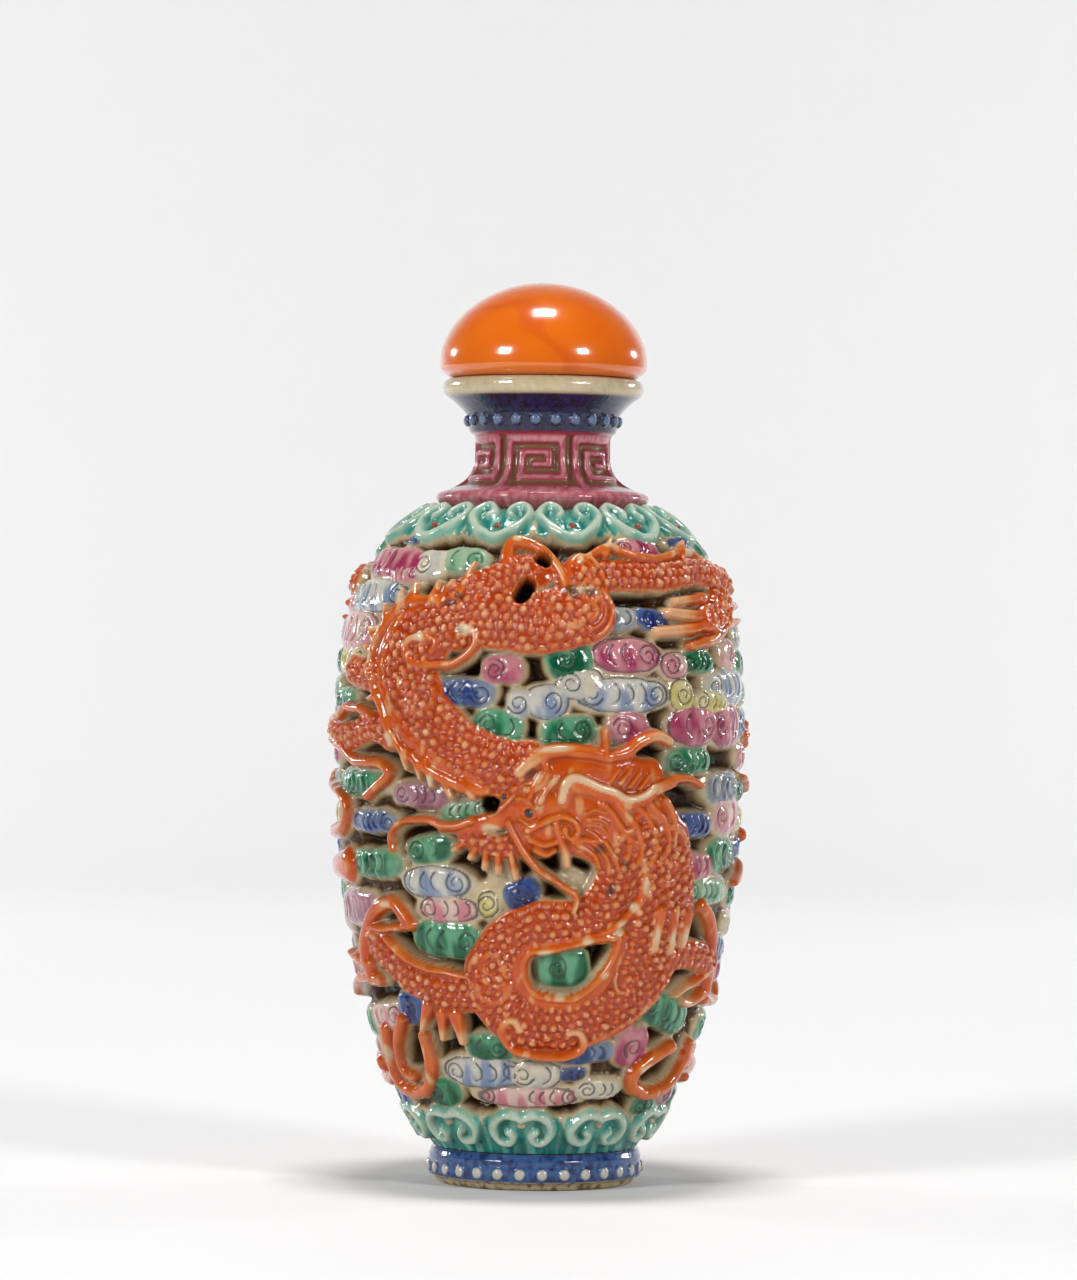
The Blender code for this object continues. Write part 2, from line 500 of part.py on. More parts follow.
def cavity_rings(bm):
    """Down the bore and the inside of the belly, a wall's thickness behind the openings, to the floor."""
    r, z, out, up = wall(CAVITY_ROWS * 4)
    deep = OPENING_DEPTH + WALL
    inner_r = r - deep * out
    inner_z = z - deep * up
    floor = FOOT_HOLLOW + FLOOR
    inside = (inner_r > MOUTH_BORE / 2.0) & (inner_z > floor) & (inner_z < SHOULDER_LEVEL)
    r, z = inner_r[inside][::-1], inner_z[inside][::-1]
    picked = np.linspace(0, len(r) - 1, CAVITY_ROWS).round().astype(int)
    rings = [ring(bm, CAVITY_SIDES, MOUTH_BORE / 2.0, z[0] + WALL / 2.0)]
    rings += [ring(bm, CAVITY_SIDES, r[i], z[i]) for i in picked]
    rings.append(ring(bm, CAVITY_SIDES, r[-1] - WALL, floor))
    return rings


def bottle():
    """One closed shell: outside from the foot to the lip, then inside down to the floor."""
    bm = bmesh.new()
    foot = foot_rings(bm)
    carved = carved_rings(bm)
    collar = collar_rings(bm)
    cavity = cavity_rings(bm)
    rings = foot + carved + collar + cavity
    for low, high in zip(rings, rings[1:]):
        join(bm, low, high)
    bm.faces.new(list(reversed(foot[0])))
    bm.faces.new(cavity[-1])
    bm.verts.index_update()
    fine = [vert.index for row in carved for vert in row]
    piece = finish("bottle", bm, (0.62, 0.17, 0.06), 0.22)
    group = piece.vertex_groups.new(name="carved")
    group.add(fine, 1.0, "REPLACE")
    simple = piece.modifiers.new("simplify", "DECIMATE")
    simple.ratio = KEPT_SHARE
    simple.vertex_group = group.name
    simple.use_collapse_triangulate = True
    return piece


def turned(name, profile, sides, top, colour, roughness):
    """A solid turned from a profile of radius and height, from near its top down, closed at both ends."""
    bm = bmesh.new()
    rings = [ring(bm, sides, r, z) for r, z in profile]
    for high, low in zip(rings, rings[1:]):
        join(bm, low, high)
    pole = bm.verts.new((0.0, 0.0, top))
    for i in range(sides):
        bm.faces.new((rings[0][i], rings[0][(i + 1) % sides], pole))
    bm.faces.new(list(reversed(rings[-1])))
    return finish(name, bm, colour, roughness)


def stopper_cap():
    """The cabochon: a dome over a short band, undercut to the face that rests on the lip."""
    face = MOUTH_LEVEL + REST_GAP
    widest = face + CAP_BEVEL + CAP_BAND
    profile = []
    for share in np.sin(np.radians(np.linspace(CAP_TOP_TURN, 0.0, CAP_ROWS))):
        profile.append((CAP_RADIUS * math.sqrt(1.0 - share ** CAP_DOME_BEND), widest + CAP_DOME * share))
    profile.append((CAP_RADIUS, face + CAP_BEVEL))
    profile.append((CAP_FACE_RADIUS, face))
    return turned("stopper_cap", profile, CAP_SIDES, widest + CAP_DOME, (0.83, 0.21, 0.04), 0.12)


def stopper_cork():
    """The tapered cork that hangs in the bore, just clear of its wall."""
    top = MOUTH_LEVEL
    radius = MOUTH_BORE / 2.0 - CORK_GAP
    tip = radius - CORK_TAPER
    profile = [(radius, top), (tip, top - CORK_LENGTH + CORK_CHAMFER),
               (tip - CORK_CHAMFER, top - CORK_LENGTH)]
    return turned("stopper_cork", profile, CORK_SIDES, top, (0.45, 0.28, 0.14), 0.85)


for old in list(bpy.data.objects):
    bpy.data.objects.remove(old)
bottle()
stopper_cap()
stopper_cork()
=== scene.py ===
"""The looks of a moulded porcelain snuff bottle: enamelled dragons in clouds, under an orange stopper.

The belly's relief is painted on an unrolled half turn, motif over motif, as depth, colour and ink, and then
laid on the bottle. The sheet runs in degrees round, 0 at the front, and in millimetres up the wall.
"""

import math

import bpy
import numpy as np
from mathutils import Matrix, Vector

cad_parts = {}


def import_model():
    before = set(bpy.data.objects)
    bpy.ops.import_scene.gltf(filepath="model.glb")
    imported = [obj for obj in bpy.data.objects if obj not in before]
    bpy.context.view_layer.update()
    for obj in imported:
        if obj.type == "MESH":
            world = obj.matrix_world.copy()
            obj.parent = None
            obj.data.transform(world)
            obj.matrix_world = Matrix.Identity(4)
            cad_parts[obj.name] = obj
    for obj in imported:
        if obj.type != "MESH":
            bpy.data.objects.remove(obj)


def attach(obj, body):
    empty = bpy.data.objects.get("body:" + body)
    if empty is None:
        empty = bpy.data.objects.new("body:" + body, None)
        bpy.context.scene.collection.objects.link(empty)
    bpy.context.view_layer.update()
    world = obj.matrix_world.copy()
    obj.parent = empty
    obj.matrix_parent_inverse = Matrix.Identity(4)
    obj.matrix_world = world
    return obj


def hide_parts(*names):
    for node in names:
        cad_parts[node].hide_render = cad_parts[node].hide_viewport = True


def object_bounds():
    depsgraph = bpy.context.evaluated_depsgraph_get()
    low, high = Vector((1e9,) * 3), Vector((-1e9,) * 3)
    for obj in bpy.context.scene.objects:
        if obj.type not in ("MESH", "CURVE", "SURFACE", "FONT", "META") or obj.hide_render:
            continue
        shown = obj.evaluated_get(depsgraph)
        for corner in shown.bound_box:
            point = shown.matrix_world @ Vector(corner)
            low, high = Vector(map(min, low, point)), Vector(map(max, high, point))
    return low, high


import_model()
cad_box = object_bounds()

MM = 0.001

# The bottle's turned form, in millimetres
BELLY_RADIUS, BELLY_LEVEL, SHOULDER_LEVEL = 17.6, 38.4, 57.3
SHOULDER_REACH, SHOULDER_BEND, SHOULDER_POWER = 20.3, 2.6, 0.379
FOOT_REACH, FOOT_BEND, FOOT_POWER = 42.0, 2.4, 0.57
BAND_HEIGHT, WALL_DEPTH, FLOOR_LEVEL, UNDERSIDE_LEVEL, BORE = 2.6, 3.3, 3.2, 1.4, 3.25
NECK_BASE_RADIUS, NECK_BASE_LEVEL = 8.35, 57.85
NECK_WAIST_RADIUS, NECK_WAIST_LEVEL, NECK_FLARE = 5.6, 62.3, 4.6
CAP_RADIUS, CAP_FACE_RADIUS, CAP_FACE_LEVEL = 8.7, 7.9, 67.42
CAP_BEVEL, CAP_BAND, CAP_DOME, CAP_BEND = 0.75, 0.73, 6.6, 1.8
CORK_RADIUS, CORK_TIP_RADIUS, CORK_TOP, CORK_BOTTOM = 2.95, 2.6, 67.4, 58.4
POLE_RADIUS, CORK_POLE_RADIUS = 2.0, 1.2

# Profiles turned round the axis: the widest step between rings, and the corners by radius and height
NECK_RIM = (0.12, [(8.8, 57.0), (8.95, 57.35), (8.85, 57.65), (8.55, 57.85)])
COLLAR = (0.11, [(5.75, 62.6), (6.1, 62.85), (6.2, 63.1), (6.3, 63.4), (6.4, 64.3), (6.75, 64.75),
                 (7.25, 65.25), (7.8, 65.7), (8.15, 65.92)])
LIP = (0.15, [(8.32, 66.1), (8.42, 66.35), (8.45, 66.65), (8.4, 66.95), (8.2, 67.22), (7.9, 67.36),
              (7.6, 67.4)])
MOUTH = (3.0, [(5.2, 67.4), (3.5, 67.38), (BORE, 67.1)])
NECK_INSIDE = (9.0, [(BORE, 62.0), (BORE, 56.5), (4.5, 55.2), (6.6, 54.9)])
UNDERSIDE = (1.3, [(POLE_RADIUS, UNDERSIDE_LEVEL), (5.6, UNDERSIDE_LEVEL), (6.2, 0.9), (6.7, 0.12)])
FOOT_RIM = (0.14, [(6.9, 0.0), (7.9, 0.0), (8.18, 0.1), (8.32, 0.3), (8.42, 0.55), (8.62, 0.62),
                   (8.82, 0.7)])
FOOT_BAND = (0.1, [(8.88, 0.82), (8.9, 1.0), (8.9, 1.7), (8.88, 2.1), (8.9, 2.45), (8.7, 2.9)])
FLOOR = (3.6, [(6.2, 3.6), (5.6, FLOOR_LEVEL), (POLE_RADIUS, FLOOR_LEVEL)])
STOPPER_STEP = 0.4

# The cap's underside and bevel: radius, and height above its face
CAP_SIDE = [(POLE_RADIUS, 0.0), (CAP_FACE_RADIUS - 0.3, 0.0), (CAP_FACE_RADIUS, 0.06), (8.35, 0.42),
            (8.6, 0.66), (8.68, 0.8), (CAP_RADIUS, 0.95)]

# The cork's side: radius and height of its corners
CORK_SIDE = [(CORK_POLE_RADIUS, CORK_BOTTOM), (CORK_TIP_RADIUS - 0.5, CORK_BOTTOM),
             (CORK_TIP_RADIUS, CORK_BOTTOM + 0.5), (CORK_RADIUS, CORK_TOP - 0.05),
             (CORK_RADIUS - 0.05, CORK_TOP), (CORK_POLE_RADIUS, CORK_TOP)]

# Rows of beads: how many, degrees to the first, level, radius of a bead and of the row; and how far they rise
COLLAR_BEADS, COLLAR_BEAD_RISE = (24, -5.6, 63.8, 0.5, 6.5), 0.75
FOOT_BEADS, FOOT_BEAD_RISE = (30, 4.0, 1.4, 0.5, 9.1), 0.55

# The levels where the collar's navy turns cream above and crimson below, and over what height
COLLAR_TOP, COLLAR_FOOT, COLLAR_FADE = 65.75, 62.95, 0.2

# The key fret of a panel, its ridges marked, and where the panels start
FRET_CELLS = ["#########.", "#.......#.", "#.#####.#.", "#.#...#.#.", "#.#.###.#.", "#.#.....#.",
              "#.#######.", "#.........", "##########"]
FRET_TURN, FRET_PANELS, FRET_LEVEL, FRET_HEIGHT, FRET_SINK = -33.0, 6, 57.75, 0.5, 0.85

# How fine the meshes are: points round the sheet and up it, and how many of them the inner wall steps over
SHEET_COLUMNS, SHEET_ROWS = 416, 441
INNER_COLUMN_STEP, INNER_ROW_STEP = 8, 10
TURNED_SIDES, CAP_SIDES, CORK_SIDES = 600, 144, 64
FRET_RINGS, CAP_RINGS = 44, 44

# Seeds of the dirt and unevenness
NECK_DIRT, NECK_WAVER, FOOT_DIRT, CORK_PITS = 21, 22, 23, 24

# The sheet's lowest and highest level, and the gap kept between the relief and the solid's box
PATTERN_LOW, PATTERN_HIGH = 2.67, 62.07
BOX_MARGIN = 0.01

# Ripples over the sheet: seed, fewest and most waves in half a turn, and most waves in a millimetre up
WASH, PALE, LUMPS = (11, 4, 26, 0.22), (12, 10, 40, 0.3), (13, 20, 70, 0.6)
SHAKES, SHAKE = ((3, 8, 30, 0.20), (4, 8, 30, 0.20)), 0.05
RIPPLE_WAVES, FAR = 14, 9.0

# Relief depths in millimetres from the belly's face
GROUND, RECESS, OPENING = -0.85, -1.30, -2.05
CLOUD_TOP, CLOUD_ROUNDING = -0.36, 0.40
CLOUD_GROWTH, SIDE_GROWTH, CLOUD_BEND, OUTLINED_BEND = 1.12, 0.22, 2.8, 2.3
LUMP, GROUND_LUMP, INK_GROOVE = 0.02, 0.05, 0.12
EDGE, FILLET = 0.34, 0.14
STROKE_ROUNDING = {"scaled": 0.5, "mass": 0.3}
PLAIN_ROUNDING = 0.75
PAD_DEPTH, PAD_ROUNDING, LINE_DEPTH, LINE_ROUNDING = -0.60, 0.3, -0.08, 0.6

# Granules of the dragon's skin: spacing, shake, size and rise with what chance adds, and the skin between
GRANULE_PITCH, GRANULE_ROW, GRANULE_SHAKE = 0.86, 0.75, 0.30
GRANULE_SIZE, GRANULE_RISE, SKIN_SINK = (0.27, 0.13), (0.23, 0.12), 0.10
SKIN_EDGE, SKIN_FADE = 0.10, 0.20

# Ink lines on the clouds: half width at the start and the end, and the spirals' shape
SPIRAL_INK, TWIN_INK, STROKE_INK, NO_INK = (0.075, 0.05), (0.08, 0.05), (0.085, 0.03), 1.0
OUTLINE_PLACE, OUTLINE_INK = 0.14, 0.05
SPIRAL_SHARE, SPIRAL_MOST, SPIRAL_POINTS = 0.70, 0.95, 15
SPIRAL_START, SPIRAL_SHIFT, SPIRAL_TURNS, SPIRAL_CLOSING = 0.30, 0.25, 1.35, 0.72

# Colours, as the eye sees them, 0 to 255
CREAM, CREAM_CREST, WHITE, PEACH = (218, 206, 176), (246, 214, 180), (244, 232, 208), (248, 196, 152)
# Stains of the recesses; the darkest is also painted shade in openings and holes, and the dirt colour also
# paints shade in hollows
STAIN_LIGHT, STAIN_DARK, STAIN_AND_HOLE_SHADE, DIRT_AND_SHADE = (106, 76, 40), (72, 48, 22), (36, 22, 10), (92, 50, 22)
ORANGE_DEEP, ORANGE, ORANGE_LIGHT, EYE = (200, 70, 0), (222, 90, 10), (234, 112, 24), (52, 58, 60)
UPPER_DOT, LOWER_DOT = (150, 62, 38), (222, 200, 170)
# The rose is the neck rim's own colour and also the painted highlight on the fret's ridges
CRIMSON, FRET_RECESS, ROSE_AND_RIDGE_HIGHLIGHT = (188, 78, 104), (140, 108, 84), (234, 176, 192)
NAVY, NAVY_DARK, NAVY_BEAD = (44, 50, 106), (32, 34, 62), (112, 138, 188)
LIP_LIGHT, LIP_DARK = (236, 226, 200), (180, 162, 122)
RIM_LIGHT, RIM_DARK = (206, 196, 168), (120, 100, 70)
BAND_LIGHT, BAND_DARK, BAND_BEAD = (66, 110, 184), (34, 58, 128), (226, 230, 234)
MOTTLE_DARK, MOTTLE_LIGHT, SPECK, INK = (120, 100, 90), (255, 250, 240), (70, 48, 34), (50, 44, 42)
STONE, STONE_LIGHT, STONE_VEIN = (206, 92, 0), (214, 108, 14), (190, 70, 10)
CORK_DARK, CORK_LIGHT, CORK_PORE = (150, 108, 70), (196, 154, 110), (84, 52, 30)
BACKDROP, SURROUNDINGS = (228, 228, 228), (240, 240, 240)
ENAMEL_SHARE = (0.64, 0.58, 0.50)
PALETTE = {
    "green": ((104, 182, 148), (0, 100, 66)), "pale": ((170, 208, 184), (108, 178, 146)),
    "deep": ((46, 146, 104), (0, 84, 54)), "blue": ((126, 152, 200), (34, 68, 148)),
    "navy": ((64, 98, 178), (14, 38, 120)), "magenta": ((220, 150, 170), (172, 56, 104)),
    "pink": ((236, 212, 210), (214, 138, 160)), "purple": ((196, 150, 172), (158, 92, 130)),
    "white": ((228, 226, 214), (208, 214, 218)), "sky": ((222, 228, 230), (138, 164, 208)),
    "yellow": ((238, 234, 196), (214, 206, 128)), "grey": ((178, 188, 202), (112, 128, 158)),
    "turquoise": ((130, 212, 206), (34, 150, 146)), "mint": ((204, 236, 228), (126, 204, 196)),
}

# How fine the materials' noise is, in waves per metre
MOTTLE_SCALE, SPECK_SCALE, GLAZE_SCALE = 1400.0, 3600.0, 2600.0
CLOUDY_SCALE, VEIN_SCALE, POLISH_SCALE = 140.0, 42.0, 1800.0
CORK_SCALE, PORE_SCALE = 900.0, 1700.0

# Lights: azimuth from the camera's side towards the viewer's right, elevation, distance, width, height, watts
LIGHTS = [
    ("overhead", 0.0, 88.0, 0.62, 0.15, 0.11, 2.7),
    ("front_left", -45.0, 19.0, 0.70, 0.16, 0.16, 2.9),
    ("front_right", 45.0, 19.0, 0.70, 0.14, 0.14, 2.3),
    ("rear_left", -122.0, 12.0, 0.80, 0.08, 0.07, 1.3),
    ("rear_right", 122.0, 12.0, 0.80, 0.08, 0.07, 1.3),
]
LIGHTS_AIM = Vector((0.0, 0.0, 0.045))
WASH_PLACE, WASH_AIM, WASH_SIZE, WASH_POWER = (0.50, 0.35, 0.30), (0.30, 0.85, -0.02), 0.30, 1.75
SURROUNDINGS_STRENGTH = 0.10

# The backdrop in metres, and the camera: its place, lens and sensor in millimetres, and roll in degrees
FLOOR_FRONT, FLOOR_BACK, SWEEP_RADIUS, WALL_HEIGHT, BACKDROP_HALF_WIDTH = -0.7, 0.5, 0.4, 1.6, 1.6
CAMERA_PLACE, LENS, SENSOR, ROLL, NEAREST = (-0.00017, -0.427, 0.04548), 142.8, 36.0, 0.65, 0.01

# Clouds: colour, outlined or not, degrees round, millimetres up, half width in degrees, half height, lean
CLOUDS = [
    ("pale", 0, -26, 54.3, 8, 1.3, -8), ("white", 0, -39.5, 53.9, 7, 1.4, 0),
    ("magenta", 0, -10.5, 44.7, 5.5, 1.1, 0), ("blue", 0, -21, 42.8, 8, 1.1, -3),
    ("green", 0, -11.5, 40.1, 6.5, 1.2, -10), ("purple", 0, -35, 34.3, 9, 1.0, -3),
    ("pale", 0, -20.5, 33.1, 7, 0.8, 5), ("magenta", 0, 36, 55.7, 9, 1.0, 0),
    ("grey", 0, 23, 49.1, 5.5, 1.0, 0), ("navy", 0, 34, 49, 5.5, 0.9, -15),
    ("green", 0, 8, 45.6, 6, 1.5, 15), ("magenta", 0, 25.5, 40, 6, 1.2, 0),
    ("green", 0, 8, 39.7, 7, 1.1, 5), ("deep", 0, 51, 45.5, 7, 0.9, 0), ("sky", 0, 69, 43.4, 12, 1.2, 0),
    ("magenta", 1, 49, 40.2, 10, 1.6, 0), ("magenta", 1, 67, 40.2, 9, 1.5, 0),
    ("green", 0, 47, 37.3, 8.5, 1.0, 0), ("grey", 0, 66, 35, 9, 1.1, 0), ("navy", 0, 49, 32, 8.5, 1.0, 0),
    ("pink", 0, 69, 32.7, 8, 1.2, 0), ("green", 0, 67, 29.4, 8, 1.1, 0),
    ("magenta", 0, 52, 28.6, 8, 1.0, 0), ("pale", 0, 61, 26.4, 11, 0.9, 0),
    ("blue", 0, 77, 21.2, 8, 1.0, -5), ("green", 0, 48, 16.2, 13, 1.4, -18),
    ("blue", 0, 18, 12.8, 10, 0.9, 5), ("navy", 0, 14, 10.9, 5, 0.6, 5),
    ("magenta", 0, 36, 13.2, 6.5, 1.7, -10), ("green", 0, -63, 35.1, 12, 0.9, 0),
    ("blue", 0, -55, 32, 10, 0.9, 0), ("green", 0, -55, 28.5, 11, 1.1, 0),
    ("purple", 0, -74, 24.6, 15, 1.1, 3), ("pink", 0, -63, 15.3, 10, 1.0, 8),
    ("navy", 0, -46, 16.3, 5.5, 1.3, 0), ("green", 0, -32.5, 29.9, 7, 1.1, 5),
    ("green", 0, -28, 22.4, 11, 1.4, -3), ("navy", 0, -4.5, 26.5, 5, 1.1, 25),
    ("green", 0, 8, 20.3, 7.5, 1.5, 5), ("green", 0, -16.5, 13.2, 8, 1.1, -5),
    ("deep", 0, -40, 8.8, 8, 1.2, 10), ("deep", 0, 53, 7.6, 7, 0.8, 0), ("sky", 1, -31, 27.2, 11, 1.3, 0),
    ("pink", 1, -27, 25, 9.5, 1.1, 0), ("yellow", 1, -14.5, 25.5, 3, 1.1, 0),
    ("magenta", 1, 25, 46, 10.5, 1.4, 0), ("pink", 1, 41, 45.2, 5, 1.1, 0),
    ("white", 1, 11, 43.6, 6.5, 1.3, 0), ("sky", 1, 2, 42.1, 6, 1.4, 0), ("sky", 1, 24, 42.7, 13.5, 1.4, 0),
    ("yellow", 1, 43.5, 42.7, 4.5, 1.3, 0), ("sky", 0, -6, 41.9, 3, 1.1, 0),
    ("sky", 1, -20, 10.9, 16, 1.4, 0), ("white", 1, 0, 10.8, 10, 1.3, 0), ("pink", 1, -3, 8.7, 20, 1.0, 0),
    ("white", 0, 26, 9.4, 9, 0.9, 0), ("magenta", 0, -60, 54.2, 18, 1.3, -3),
    ("pink", 0, -49, 52.9, 7, 0.8, 0), ("sky", 1, -64, 51, 16, 1.3, 0), ("pink", 1, -72, 47.9, 13, 1.5, 0),
    ("yellow", 0, -71, 45.3, 9, 0.9, 0), ("green", 0, -76, 42, 9, 0.8, 0),
    ("yellow", 0, 58, 42.2, 8, 0.9, 0), ("pink", 0, 69, 46.2, 5, 1.0, 0), ("navy", 0, 62, 56.5, 7, 0.5, 0),
    ("blue", 0, -54, 56.5, 4, 0.5, 0), ("green", 0, 86, 56, 9, 1.0, 0), ("pink", 0, 91, 50.5, 7, 0.9, 0),
    ("sky", 0, 89, 47.9, 8, 1.0, 4), ("deep", 0, 87, 45.3, 7, 0.9, -4), ("pale", 0, 91, 42.8, 7, 0.9, 0),
    ("blue", 0, 88, 40.4, 7, 0.9, 5), ("magenta", 0, 87, 37.6, 8, 0.9, -3),
    ("green", 0, 85, 34.9, 7, 0.9, 3), ("yellow", 0, 84, 32.3, 6, 0.9, 0), ("navy", 0, 86, 29.8, 6, 0.8, 0),
    ("green", 0, 87, 25.9, 8, 0.9, -4), ("white", 0, 88, 23.4, 7, 0.9, 3),
    ("magenta", 0, 89, 19.3, 7, 0.8, 0), ("green", 0, 88, 14.4, 9, 1.1, 4),
    ("pink", 0, 90, 12.2, 7, 0.7, 0), ("deep", 0, 85, 7.9, 9, 0.9, 0), ("blue", 0, 104, 7.8, 7, 0.9, 0),
    ("purple", 0, 70, 8.4, 6, 0.8, 0),
]

# Openings through the outer wall: degrees round, millimetres up, half width in degrees, half height, lean
OPENINGS = [
    (-34, 56.9, 9, 0.9, 0), (0, 56.3, 5, 1.3, 0), (21, 56.6, 5, 0.9, 10), (50, 56.8, 6, 0.9, 20),
    (-37, 51.8, 4, 0.6, 0), (-27.5, 51.9, 2, 0.8, 0), (-16, 53.4, 3, 0.6, 0), (-55, 48.5, 6.5, 1.2, 15),
    (-76, 43.4, 10, 0.5, 0), (-61, 41.6, 8, 0.7, -15), (-44, 37.1, 7, 0.6, -16), (-24, 44.7, 8, 0.7, 10),
    (-21.5, 41, 4, 1.0, -30), (-10.5, 42.4, 2.5, 0.9, -20), (-2, 45.1, 4, 1.4, 0), (-3.5, 39.5, 3, 0.9, 0),
    (17, 39.8, 3, 0.9, 0), (36, 40.6, 4.5, 1.0, 0), (31, 37.8, 5.5, 1.1, 0), (27, 51, 8, 0.8, 0),
    (28, 47.5, 13, 0.6, 0), (52, 51.8, 5, 0.9, 10), (51, 43.6, 5.5, 0.6, 0), (62, 46, 3.5, 0.9, 0),
    (64, 37.2, 8, 0.9, 0), (47, 34, 9, 0.9, 0), (60, 32.5, 3, 1.0, 0), (54, 30.4, 6, 0.5, 0),
    (49, 27, 2.5, 0.8, 0), (53, 23.3, 5, 0.8, 0), (48, 19.4, 7, 0.6, 12), (40, 14.9, 9, 1.0, -25),
    (56, 11.3, 7, 1.2, 15), (64, 15.3, 8, 0.6, 0), (38, 8.3, 6, 1.1, -10), (9, 7.4, 8, 0.6, 0),
    (-24, 7.7, 7, 1.1, 0), (-36, 11.9, 6, 1.6, -10), (-50, 12.2, 4, 1.8, 30), (-72, 11.9, 10, 0.7, 15),
    (-66, 17.3, 10, 0.7, 0), (-22, 15.1, 2.5, 0.7, 0), (-43, 22.1, 5.5, 0.9, -12), (-32, 21, 9, 0.6, -5),
    (-43, 28, 3, 2.0, 0), (-55, 30.4, 8, 0.5, 0), (-20, 28.8, 5, 0.9, -25), (-2.8, 27.9, 2.2, 0.9, 0),
    (3.6, 29.1, 3, 0.6, 0), (13.5, 29.1, 2.6, 0.5, 0), (5.2, 26.4, 2, 0.9, 0), (17, 26.5, 4, 0.6, 25),
    (9, 20.7, 12.5, 2.1, 5), (-13, 33.7, 2.5, 0.7, 0), (-36, 32.8, 8, 0.4, 0), (-34, 31.1, 6, 0.6, 0),
    (-55, 36.1, 4, 0.8, 0), (-78, 33.1, 5, 1.1, 0), (-78, 37.4, 8, 0.6, 0), (-42, 14, 3, 0.8, 0),
]

# Places where the outer wall is bare and cream, given in the same way
BARE = [
    (-12, 27.2, 8, 2.2, 10), (12, 27.7, 8, 1.2, 5), (-22, 24.2, 4, 1.0, 30), (-44, 12, 8, 1.0, 0),
    (0, 13.2, 12, 0.6, 0),
]

# Ruyi collars: number of heads, degrees to the first, the level of their tips, which way is out, and size
UPPER_HEADS = (12, 12.0, 56.75, 1.0, 1.0)
LOWER_HEADS = (10, -6.0, 7.0, -1.0, 0.9)
APRON_LEVEL = 5.4

# Half a head's outline, from its tip: shares of the spacing to the side, and millimetres out
UPPER_OUTLINE = [
    (0, 0), (0.10, 0.2), (0.26, 1.1), (0.40, 2.3), (0.43, 3.2), (0.37, 4.1), (0.27, 4.4), (0.16, 3.9),
    (0.12, 3.1), (0.16, 2.6),
]
LOWER_OUTLINE = [
    (0, 0.3), (0.1, 0.05), (0.22, 0.1), (0.34, 0.8), (0.38, 1.7), (0.31, 2.6), (0.18, 2.75), (0.12, 2.2),
    (0.17, 1.7),
]

# The outline's half width at both ends, the pad's half width and height as shares, and the dots
RUYI_LINE, RUYI_PAD = (0.60, 0.50), (0.54, 0.52)
UPPER_DOT_AT, LOWER_DOT_AT, RUYI_DOT_RADIUS, RUYI_DOT_HEIGHT = 1.5, 1.0, 0.36, 0.35

# The dragon's strokes: look, half width at each end, and points in degrees round and millimetres up

# The coils of its body
BODY = [
    ("scaled", 2.4, 2.7, [(-3, 36.5), (-13, 36.9), (-23, 38.4), (-32, 40.7), (-39.5, 43), (-42, 45.6),
        (-37, 47.8), (-25, 48.8), (-12, 49), (0, 48.6), (13, 49.6)]),
    ("scaled", 2.2, 2.0, [(-34, 42.5), (-36.5, 45), (-32, 46.6)]),
    ("scaled", 1.6, 1.5, [(-26, 50.6), (-16, 51.8), (-8, 53), (-1, 53)]),
    ("scaled", 2.0, 1.8, [(8, 49.6), (14, 51.2), (13, 53)]),
    ("scaled", 2.4, 2.2, [(38, 30.5), (41, 27.5), (41.5, 24), (37, 20), (28, 17.3), (16, 15.9), (4, 15.4),
        (-7, 16), (-14, 18), (-14.5, 20)]),
    ("scaled", 2.1, 1.7, [(-13, 19), (-12.5, 21), (-8, 22.7), (-2, 23.7), (4, 24.1), (11, 24.1), (17, 25),
        (22, 27.4), (25, 31)]),
    ("scaled", 1.6, 1.6, [(33, 28), (31.5, 25), (30.5, 22), (28, 19.5)]),
    ("scaled", 2.6, 2.2, [(30, 31.5), (35, 29.5), (34, 26)]),
    ("scaled", 1.4, 1.2, [(-50, 44), (-58, 44.2), (-64, 44.5)]),
]

